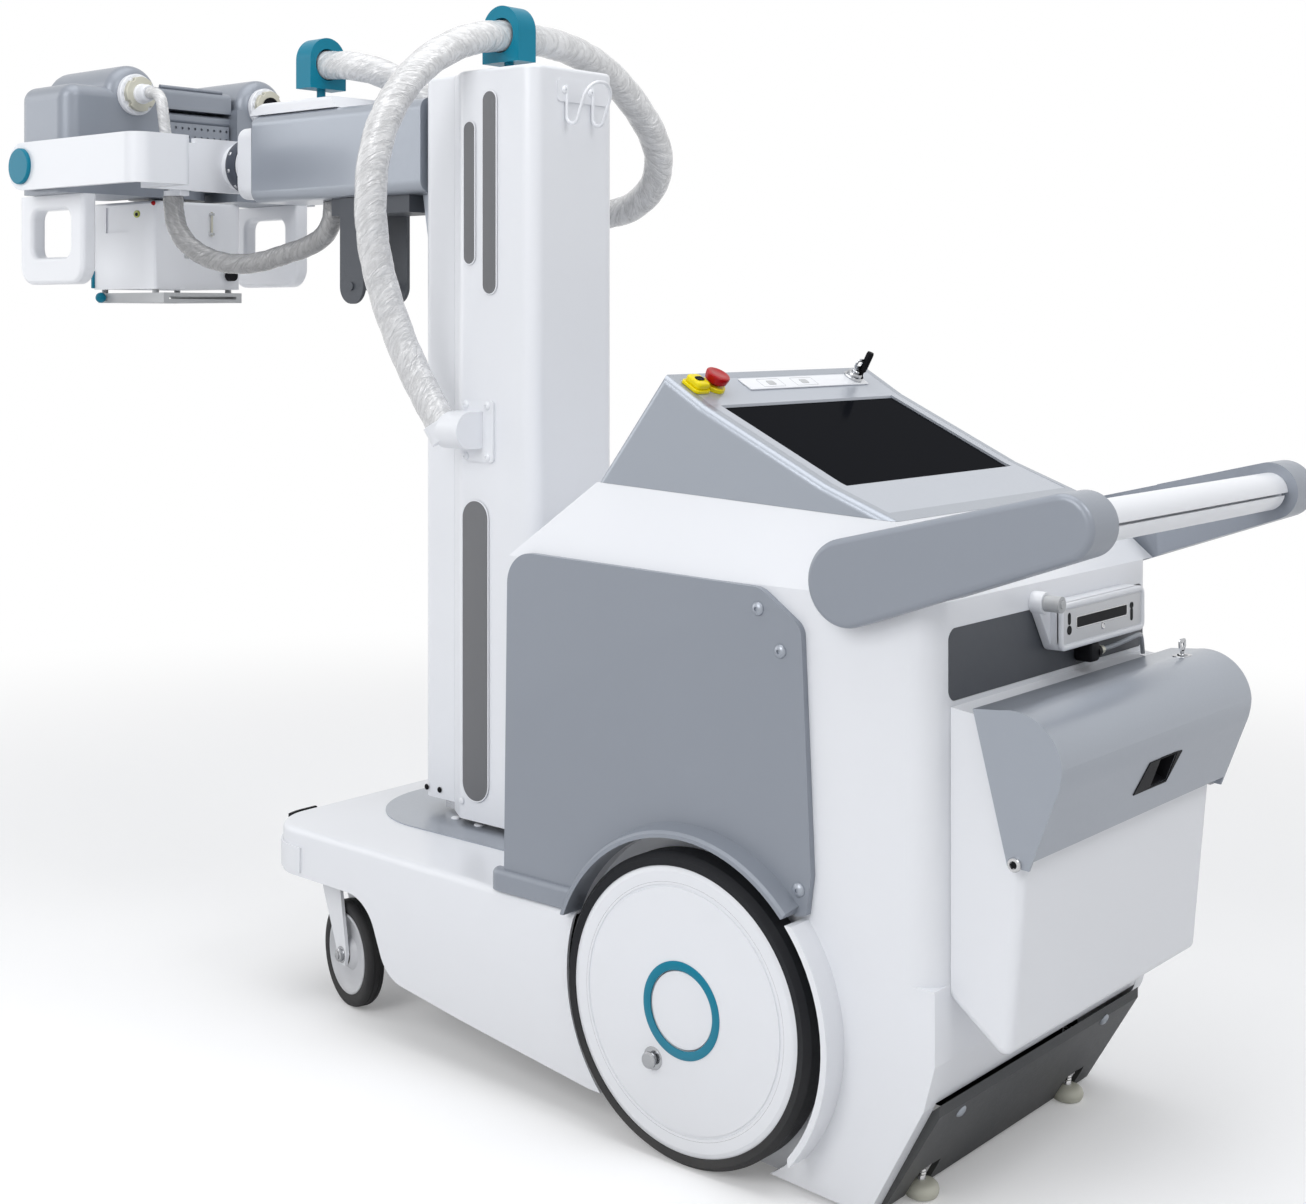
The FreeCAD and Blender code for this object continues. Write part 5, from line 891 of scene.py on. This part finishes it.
class MACHINE_OT_column(bpy.types.Operator):
    """Grey slot inlays with their raised rims on both sides of the column"""
    bl_idname = "machine.column"
    bl_label = "Column Trim"

    def execute(self, context):
        slots = ((-0.092, -0.064, 1.350, 1.610), (-0.043, -0.009, 1.295, 1.662), (-0.095, -0.030, 0.371, 0.918))
        for side, sign in SIDES:
            lay = lay_side(sign)
            inlays = [plate("inlay", stadium(*slot, 14), lay, COLUMN_FACE, 0.1149, 0.0002) for slot in slots]
            place(joined("column_inlays_" + side, inlays), slot_grey_and_groove_shade(), "column")
            rims = []
            for x0, x1, z0, z1 in slots:
                outline = stadium(x0 - 0.0018, x1 + 0.0018, z0 - 0.0018, z1 + 0.0018, 14)
                rims.append(moulded_ring("rim", outline, 0.0022, lay, COLUMN_FACE, 0.1155, 0.0007))
            place(joined("column_rims_" + side, rims), white(), "column")
        return {"FINISHED"}


class MACHINE_OT_console(bpy.types.Operator):
    """The console's switch strip, alarm unit, emergency stop, and the key switch with its lever"""
    bl_idname = "machine.console"
    bl_label = "Console Switches"

    def execute(self, context):
        strip = lay_on(facet(0.558, 0, 0.0003), FACET_DOWN, Y_AXIS)
        outline = box_outline(-0.016, 0.016, -0.122, 0.216, 0.003)
        place(plate("switch_strip", outline, strip, 0, 0.0022, 0.0006), white(), "chassis",
              ["switch_plate"])
        keys = []
        for y in (-0.051, 0.041):
            keys.append(moulded_ring("key", box_outline(-0.0115, 0.0115, y - 0.030, y + 0.030, 0.003), 0.0008, strip,
                                     0.0020, 0.0025, 0.0002))
            keys.append(plate("pad", box_outline(-0.006, 0.006, y - 0.010, y + 0.010, 0.003), strip, 0.0020, 0.0028,
                              0.0004))
        place(joined("switch_pads", keys), pale(), "chassis")
        alarm = lay_on(facet(0.559, -0.248, 0.0003), FACET_DOWN, Y_AXIS)
        base = plate("base", box_outline(-0.019, 0.019, -0.018, 0.018, 0.007), alarm, 0, 0.0055, 0.0012)
        cap = plate("cap", box_outline(-0.0165, 0.0165, -0.0150, 0.0150, 0.0075), alarm, 0.0050, 0.0165, 0.0038, 6)
        place(joined("alarm_unit", [base, cap]), yellow(), "chassis")
        sounder = moulded_ring("ring", stadium(-0.0055, 0.0055, -0.0095, 0.0095), 0.0022, alarm, 0.0160, 0.0180, 0.0006)
        grille = plate("grille", stadium(-0.0035, 0.0035, -0.0075, 0.0075), alarm, 0.0160, 0.0171, 0.0002)
        place(joined("alarm_sounder", [sounder, grille]), black(), "chassis")
        at = facet(0.560, -0.207)
        collar = [(0.0081, 0.0003), (0.0200, 0.0003), (0.0205, 0.0015), (0.0200, 0.0060), (0.0188, 0.0073),
                  (0.0081, 0.0073), (0.0081, 0.0003)]
        place(lathe("estop_collar", collar, at, FACET_OUT, 48), yellow(), "chassis")
        cap = [(0, 0.0053), (0.0078, 0.0053), (0.0080, 0.0118), (0.0165, 0.0122), (0.0182, 0.0136), (0.0200, 0.0225),
               (0.0198, 0.0248), (0.0184, 0.0262), (0.0130, 0.0270), (0.0125, 0.0268), (0, 0.0272)]
        place(lathe("estop_cap", cap, at, FACET_OUT, 64), red(), "estop", ["estop_button"])
        self.key_switch()
        return {"FINISHED"}

    def key_switch(self):
        at = facet(0.554, 0.191)
        barrel = [(0.0072, 0.0025), (0.0165, 0.0025), (0.0168, 0.0050), (0.0150, 0.0062), (0.0135, 0.0068),
                  (0.0132, 0.0115), (0.0118, 0.0135), (0.0072, 0.0140), (0.0072, 0.0025)]
        place(lathe("key_lock", barrel, at, FACET_OUT, 48), chrome(), "chassis")
        core = lathe("core", [(0, 0.0045), (0.0069, 0.0045), (0.0069, 0.0162), (0.0058, 0.0172), (0, 0.0172)], at,
                     FACET_OUT, 32)
        blade = plate("blade", box_outline(-0.0042, 0.0042, 0.0165, 0.0230, 0.0008), self.bow_plane(at, 0), -0.0011,
                      0.0011, 0.0003)
        bows = [core, blade]
        for lean, low, width in ((0.0, 0.0205, 0.0115), (-0.55, 0.0170, 0.0100)):
            outline = box_outline(-width, width, low, low + 0.019, 0.0080, 8)
            bows.append(moulded_ring("bow", outline, 0.0052, self.bow_plane(at, lean), -0.0011, 0.0011, 0.0005))
        place(joined("switch_keys", bows), chrome(), "key_switch", ["switch_key"])
        grip_at = facet(0.5585, 0.2035)
        out = np.array(FACET_OUT) * 1.0 + np.array([-0.06, 0.05, 0.04])
        grip = [(0, 0.0050), (0.0062, 0.0050), (0.0066, 0.0075), (0.0040, 0.0100), (0.0034, 0.0150), (0.0058, 0.0185),
                (0.0062, 0.0210), (0.0056, 0.0220), (0.0064, 0.0235), (0.0064, 0.0500), (0.0054, 0.0540), (0, 0.0545)]
        place(lathe("key_lever", grip, grip_at, out, 32), black(), "key_switch")

    def bow_plane(self, at, lean):
        """The plane of a key's bow, through y and the facet's normal, leaned about the lock by an angle."""
        across = np.array([0, math.cos(lean), 0]) + math.sin(lean) * np.array(FACET_OUT)
        return lay_on(at, across, math.cos(lean) * np.array(FACET_OUT) - math.sin(lean) * np.array([0, 1.0, 0]))


class MACHINE_OT_rear(bpy.types.Operator):
    """The rear socket plate with its slots, the hand switch's holder, the cable port, and the lid's pull and lock"""
    bl_idname = "machine.rear"
    bl_label = "Rear Trim"

    def execute(self, context):
        outer = box_outline(-0.0362, 0.2364, 0.7646, 0.8340, 0.013, 8)
        housing = plate("housing", outer, lay_x, REAR_FACE, SOCKET_FACE, 0.0020)
        rim = moulded_ring("rim", outer, 0.0085, lay_x, 1.0660, 1.0735, 0.0030)
        web = plate("web", [(-0.074, 0.833), (-0.050, 0.826), (-0.020, 0.829), (-0.020, 0.771), (-0.034, 0.771)],
                    lay_x, REAR_FACE, 1.0553, 0.0015)
        cradle = lathe("cradle", [(0.0123, 0.0), (0.0165, 0.0), (0.0165, 0.0185), (0.0155, 0.0200), (0.0123, 0.0200),
                                  (0.0123, 0.0)], (REAR_FACE, -0.060, 0.838), X_AXIS, 48)
        place(joined("socket_frame", [housing, rim, web, cradle]), white(), "chassis", ["socket_box"])
        face = plate("face", inset(outer, 0.0100), lay_x, 1.0698, 1.0708, 0.0004)
        place(face, material("pale_face_plate", (0.68, 0.685, 0.70), 0.36, scale=900, depth=0.12), "chassis")
        face.name = "socket_face"
        slots = [plate("slot", box_outline(0.0146, 0.1778, 0.7945, 0.8095, 0.0035), lay_x, SOCKET_FACE, 1.0711),
                 plate("left", stadium(-0.0125, -0.0035, 0.8010, 0.8190), lay_x, SOCKET_FACE, 1.0712),
                 plate("bulb", stadium(-0.0150, -0.0010, 0.7865, 0.8000), lay_x, SOCKET_FACE, 1.0713),
                 plate("right", stadium(0.1900, 0.1990, 0.7830, 0.8030), lay_x, SOCKET_FACE, 1.0712),
                 plate("top", stadium(0.1885, 0.2005, 0.8020, 0.8115), lay_x, SOCKET_FACE, 1.0713),
                 plate("dot", stadium(-0.0315, -0.0275, 0.7990, 0.8090), lay_x, SOCKET_FACE, 1.0711)]
        place(joined("socket_slots", slots), black(), "chassis")
        frames = [moulded_ring("frame", box_outline(0.0128, 0.1796, 0.7927, 0.8113, 0.0045), 0.0018, lay_x, SOCKET_FACE,
                               1.0716, 0.0005),
                  lathe("button", [(0, 0.0), (0.0052, 0.0), (0.0052, 0.0018), (0.0040, 0.0026), (0.0036, 0.0016),
                                   (0, 0.0016)], (1.0703, 0.0977, 0.7870), X_AXIS, 32)]
        place(joined("socket_trim", frames), steel(), "chassis")
        self.cable_port()
        self.lid_trim()
        return {"FINISHED"}

    def cable_port(self):
        port = plate("port", box_outline(0.062, 0.092, 0.7350, 0.7642, 0.006), lay_x, 1.0413, 1.0700, 0.004)
        boot = lathe("boot", [(0, -0.004), (0.0105, -0.004), (0.0105, 0.004), (0.0085, 0.010), (0.0062, 0.013),
                              (0, 0.013)], GLAND_AT, Y_AXIS, 32)
        place(joined("cable_port", [port, boot]), black(), "chassis")
        gland = [(0.0037, 0.012), (0.0065, 0.012), (0.0072, 0.0135), (0.0072, 0.0185), (0.0062, 0.0200),
                 (0.0062, 0.0235), (0.0046, 0.0255), (0.0037, 0.0255), (0.0037, 0.012)]
        place(lathe("cable_gland", gland, GLAND_AT, Y_AXIS, 32), cast_metal(), "chassis")

    def lid_trim(self):
        up = (0.3616, 0, 0.9323)
        lay = lay_on((1.1984, 0.033, 0.6025), Y_AXIS, up)
        outline = box_outline(-0.0276, 0.0276, -0.0237, 0.0237, 0.002)
        walls = moulded_ring("walls", outline, 0.0012, lay, -0.022, -0.0010, 0.0004)
        floor = plate("floor", inset(outline, 0.0006), lay, -0.0225, -0.0205)
        wide = rounded([(-0.0800, -0.0270), (0.0270, -0.0270), (0.0450, 0.0230), (-0.0620, 0.0230)], 0.002, 5)
        rings = [(wide, -0.0002), (wide, 0.0008), (inset(wide, 0.0008), 0.0014), (outline, 0.0010), (outline, -0.0002)]
        flange = np.concatenate([lay(ring[:, 0], ring[:, 1], np.full(len(ring), rise)) for ring, rise in rings])
        flange = face_out(put_mesh("flange", flange, grid_faces(5, len(wide), True)))
        place(joined("lid_pull", [walls, floor, flange]), black(), "lid")
        at = (1.140, 0.225, 0.7285)
        seat = plate("seat", stadium(-0.0190, 0.0190, -0.0115, 0.0115), lay_on(at, Y_AXIS, (-1, 0, 0)), 0, 0.0048,
                     0.0016)
        core = lathe("core", [(0, 0.004), (0.0080, 0.004), (0.0080, 0.0062), (0.0070, 0.0070), (0, 0.0070)], at,
                     Z_AXIS, 32)
        blade = plate("blade", box_outline(-0.0045, 0.0045, 0.006, 0.0130, 0.001), lay_on(at, Y_AXIS, Z_AXIS),
                      -0.0012, 0.0012, 0.0004)
        outline = rounded([(-0.0060, 0.0105), (0.0060, 0.0105), (0.0112, 0.0180), (0.0112, 0.0300), (-0.0112, 0.0300),
                           (-0.0112, 0.0180)], 0.0050, 8)
        bow = moulded_ring("bow", outline, 0.0068, lay_on(at, Y_AXIS, Z_AXIS), -0.0012, 0.0012, 0.0005)
        place(joined("bin_key", [seat, core, blade, bow]), chrome(), "lid_lock", ["lid_key"])


class MACHINE_OT_head(bpy.types.Operator):
    """High voltage sockets, the yoke's hub, and the collimator's small controls"""
    bl_idname = "machine.head"
    bl_label = "Tube Head Trim"

    def execute(self, context):
        collars, nuts = [], []
        for y in (-HEAD_SOCKET_Y, HEAD_SOCKET_Y):
            at = (0, y, HEAD_SOCKET_Z)
            lay = lay_on(at, Y_AXIS, Z_AXIS)
            collar = [(0, -1.0700), (0.0295, -1.0700), (0.0295, -1.0397), (0.0440, -1.0397), (0.0440, -1.0300),
                      (0.0425, -1.0280), (0.0370, -1.0275), (0.0360, -1.0300), (0, -1.0300)]
            collars.append(lathe("collar", collar, at, X_AXIS, 72))
            collars.append(plate("teeth", notched(0.0405, 0.0035, 12, 0.4), lay, -1.0290, -1.0245, 0.0))
            nuts.append(plate("nut", notched(0.0370, 0.0045, 4, 0.16, 0.5), lay, -1.0270, -1.0145, 0.0010))
        self.plug(collars)
        place(joined("socket_collars", collars), white(), "tube", ["hv_receptacles"])
        place(joined("socket_nuts", nuts), cast_metal(), "tube")
        well = lathe("socket_hex_shade", [(0, -1.0150), (0.0195, -1.0150), (0.0195, -1.0138), (0.0225, -1.0138),
                                     (0.0225, -1.0125), (0.0180, -1.0125), (0.0170, -1.0140), (0, -1.0140)],
                     (0, HEAD_SOCKET_Y, HEAD_SOCKET_Z), X_AXIS, 48)
        place(well, black(), "tube")
        self.hub()
        self.collimator()
        return {"FINISHED"}

    def plug(self, collars):
        body = [(0, -1.0200), (0.0205, -1.0200), (0.0215, -1.0140), (0.0215, -1.0095), (0.0196, -1.0080),
                (0.0192, -0.9970), (0.0178, -0.9905), (0.0150, -0.9880), (0, -0.9878)]
        collars.append(lathe("plug", body, (0, -HEAD_SOCKET_Y, HEAD_SOCKET_Z), X_AXIS, 56))

    def hub(self):
        ring = [(0.0305, -0.8812), (0.0520, -0.8812), (0.0580, -0.8770), (0.0600, -0.8690), (0.0600, -0.8580),
                (0.0565, -0.8480), (0.0305, -0.8475), (0.0305, -0.8812)]
        place(lathe("yoke_hub", ring, (0, 0, YOKE_AXIS_Z), X_AXIS, 72), dark_blue(), "arm")
        bolts = []
        for turn in np.arange(10) * TAU / 10 + 0.2:
            at = (-0.8795, 0.0440 * math.cos(turn), YOKE_AXIS_Z + 0.0440 * math.sin(turn))
            bolt = [(0, 0), (0.0044, 0), (0.0044, -0.0022), (0.0036, -0.0030), (0, -0.0030)]
            bolts.append(lathe("bolt", bolt, at, X_AXIS, 16))
            at = (-0.8650, 0.0596 * math.cos(turn), YOKE_AXIS_Z + 0.0596 * math.sin(turn))
            bolts.append(dome_screw("stud", at, (0, math.cos(turn), math.sin(turn)), 0.0045, 0.0026))
        place(joined("hub_bolts", bolts), chrome(), "arm")
        step = plate("flange_step", box_outline(-0.0640, 0.0640, 1.5110, 1.6390, 0.024, 8), lay_x, -0.8300, -0.8108,
                     0.0050, 5)
        place(step, white(), "arm")

    def collimator(self):
        badge = plate("collimator_button", ellipse(-1.1173, 1.4783, 0.0115, 0.0082), lay_side(-1), 0.1130, 0.1150,
                      0.0006)
        place(badge, material("olive_button", (0.42, 0.46, 0.03), 0.35, coat=0.2), "collimator")
        mark = plate("mark", ellipse(-1.1173, 1.4775, 0.0055, 0.0040), lay_side(-1), 0.1148, 0.1156, 0.0002)
        place(mark, black(), "collimator")
        mark.name = "collimator_button_centre"
        ball = np.linspace(-PI / 2, PI / 2, 17)
        knob = lathe("tray_knob", np.stack([0.0117 * np.cos(ball), 0.0117 * np.sin(ball)], 1), (-1.252, -0.116, 1.296),
                     Y_AXIS, 32)
        place(knob, teal(), "collimator")
        block = plate("corner_block", box_outline(-1.2885, -1.2790, -0.1185, -0.0900, 0.003), lay_z, 1.3170, 1.3560,
                      0.0020)
        place(block, teal(), "collimator")
        rod = [(0, -0.0840), (0.0022, -0.0840), (0.0024, -0.0835), (0.0024, -0.0300), (0, -0.0300)]
        place(lathe("lamp_rod", rod, (-1.0465, 0.0336, 1.5160), Z_AXIS, 20), cast_metal(), "collimator")
        clips = [plate("clip", box_outline(0.0276, 0.0396, z, z + 0.006, 0.001), lay_x, -1.0502, -1.0440, 0.0008)
                 for z in (1.4340, 1.4780)]
        clips.append(plate("blank", box_outline(-0.0359, 0.0013, 1.3830, 1.4054, 0.0015), lay_x, -1.0502, -1.0494,
                           0.0003))
        clips.append(moulded_ring("blank_rim", box_outline(-0.0375, 0.0029, 1.3814, 1.4070, 0.0025), 0.0012, lay_x,
                                  -1.0502, -1.0492, 0.0003))
        place(joined("collimator_clips", clips), pale(), "collimator")
        small = dome_screw("release_pin", (-1.0560, -0.1130, 1.5000), (0, -1, 0), 0.0052, 0.0060)
        place(small, red(), "collimator")


class MACHINE_OT_stage(bpy.types.Operator):
    """Pale floor, soft studio light and the camera at the photograph's viewpoint"""
    bl_idname = "machine.stage"
    bl_label = "Stage"

    def execute(self, context):
        turn = np.linspace(0, TAU, 96, endpoint=False)
        rings = [np.stack([r * np.cos(turn), r * np.sin(turn), 0 * turn], 1) for r in (0.02, 1.5, 3.0, 5.0, 7.0)]
        faces = grid_faces(5, 96) + [tuple(range(96))]
        floor = face_up(put_mesh("floor", np.concatenate(rings), faces, False))
        paint(floor, self.floor_material())
        self.world(context)
        for name, at, size, power, aim in (
            ("key_light", (0.6, -4.6, 3.4), 2.8, 92, (0.1, 0, 0.8)),
            ("rear_light", (3.1, -0.1, 3.3), 1.4, 27, (1.0, 0, 0.7)),
            ("top_light", (0.2, -0.2, 4.6), 3.2, 58, (0.2, 0, 0.5)),
            ("front_light", (-4.2, -2.0, 2.2), 2.4, 22, (-0.3, 0, 1.0)),
        ):
            data = bpy.data.lights.new(name, "AREA")
            data.size = size
            data.energy = power
            lamp = bpy.data.objects.new(name, data)
            context.scene.collection.objects.link(lamp)
            lamp.location = at
            lamp.rotation_euler = (Vector(aim) - Vector(at)).to_track_quat("-Z", "Y").to_euler()
        self.camera(context)
        context.scene.view_settings.view_transform = "Standard"
        return {"FINISHED"}

    def floor_material(self):
        """Matt white near the machine, lifted a little for the camera, and plain white further out so that no
        horizon shows: the share of plain white is the distance from the middle, mapped from 1.6 m to 4.2 m."""
        made = bpy.data.materials.new("studio_floor")
        made.use_nodes = True
        tree = made.node_tree
        shader = tree.nodes["Principled BSDF"]
        shader.inputs["Base Color"].default_value = (0.84, 0.84, 0.845, 1)
        shader.inputs["Roughness"].default_value = 0.85
        shader.inputs["Specular IOR Level"].default_value = 0.0
        reach = add(tree, "VectorMath", {0: add(tree, "TexCoord").outputs["Object"]}, operation="LENGTH")
        far = add(tree, "MapRange", {"Value": reach.outputs["Value"], "From Min": 1.6, "From Max": 4.2},
                  interpolation_type="SMOOTHSTEP")
        rays = add(tree, "LightPath").outputs
        seen = maths(tree, "MAXIMUM", rays["Is Camera Ray"], rays["Is Glossy Ray"])
        share = maths(tree, "MULTIPLY", far.outputs[0], seen)
        lift = maths(tree, "MULTIPLY", rays["Is Camera Ray"], 0.19)
        glow = add(tree, "Emission", {"Color": PLAIN_WHITE, "Strength": lift})
        near = add(tree, "AddShader", {0: shader.outputs[0], 1: glow.outputs[0]})
        plain = add(tree, "Emission", {"Color": PLAIN_WHITE, "Strength": 1.0})
        mix = add(tree, "MixShader", {0: share, 1: near.outputs[0], 2: plain.outputs[0]})
        tree.links.new(mix.outputs[0], tree.nodes["Material Output"].inputs["Surface"])
        return made

    def world(self, context):
        world = bpy.data.worlds.new("studio")
        world.use_nodes = True
        tree = world.node_tree
        back = tree.nodes["Background"]
        back.inputs["Color"].default_value = (0.96, 0.975, 1.0, 1)
        back.inputs["Strength"].default_value = 0.50
        sky = add(tree, "Background", {"Color": PLAIN_WHITE, "Strength": 1.0})
        rays = add(tree, "LightPath").outputs
        seen = maths(tree, "MAXIMUM", rays["Is Camera Ray"], rays["Is Glossy Ray"])
        clear = maths(tree, "MAXIMUM", seen, rays["Is Transmission Ray"])
        mix = add(tree, "MixShader", {0: clear, 1: back.outputs[0], 2: sky.outputs[0]})
        tree.links.new(mix.outputs[0], tree.nodes["World Output"].inputs["Surface"])
        context.scene.world = world

    def camera(self, context):
        data = bpy.data.cameras.new("photo_camera")
        data.sensor_width = 36
        data.lens = PHOTO_FOCAL / PHOTO_WIDTH * data.sensor_width
        data.shift_x = (PHOTO_WIDTH / 2 - PHOTO_CENTRE[0]) / PHOTO_WIDTH
        data.shift_y = -(PHOTO_HEIGHT / 2 - PHOTO_CENTRE[1]) / PHOTO_WIDTH
        data.clip_end = 100
        camera = bpy.data.objects.new("photo_camera", data)
        context.scene.collection.objects.link(camera)
        camera.location = (2.38143, -2.51386, 1.25521)
        camera.rotation_euler = (PI / 2, 0, math.radians(40.87))
        context.scene.camera = camera


class MACHINE_PT_sidebar(bpy.types.Panel):
    """The machine's finishes, sizes and build steps"""
    bl_label = "X-ray Machine"
    bl_idname = "MACHINE_PT_sidebar"
    bl_space_type = "VIEW_3D"
    bl_region_type = "UI"
    bl_category = "X-ray"

    def draw(self, context):
        layout = self.layout
        for group in (context.scene.machine_finish, context.scene.machine_sizes):
            for key in group.bl_rna.properties.keys():
                if key not in ("rna_type", "name"):
                    layout.prop(group, key)
        for operator in OPERATORS:
            layout.operator(operator.bl_idname)


OPERATORS = (
    MACHINE_OT_stage,
    MACHINE_OT_cables,
    MACHINE_OT_finishes,
    MACHINE_OT_wheels,
    MACHINE_OT_base,
    MACHINE_OT_column,
    MACHINE_OT_screws,
    MACHINE_OT_console,
    MACHINE_OT_rear,
    MACHINE_OT_head,
)
CLASSES = (MachineFinish, MachineSizes, *OPERATORS, MACHINE_PT_sidebar)


def register():
    for item in CLASSES:
        bpy.utils.register_class(item)
    bpy.types.Scene.machine_finish = PointerProperty(type=MachineFinish)
    bpy.types.Scene.machine_sizes = PointerProperty(type=MachineSizes)


def unregister():
    del bpy.types.Scene.machine_sizes
    del bpy.types.Scene.machine_finish
    for item in reversed(CLASSES):
        bpy.utils.unregister_class(item)


def main():
    register()
    for operator in OPERATORS:
        group, call = operator.bl_idname.split(".")
        getattr(getattr(bpy.ops, group), call)()


if __name__ == "__main__":
    main()
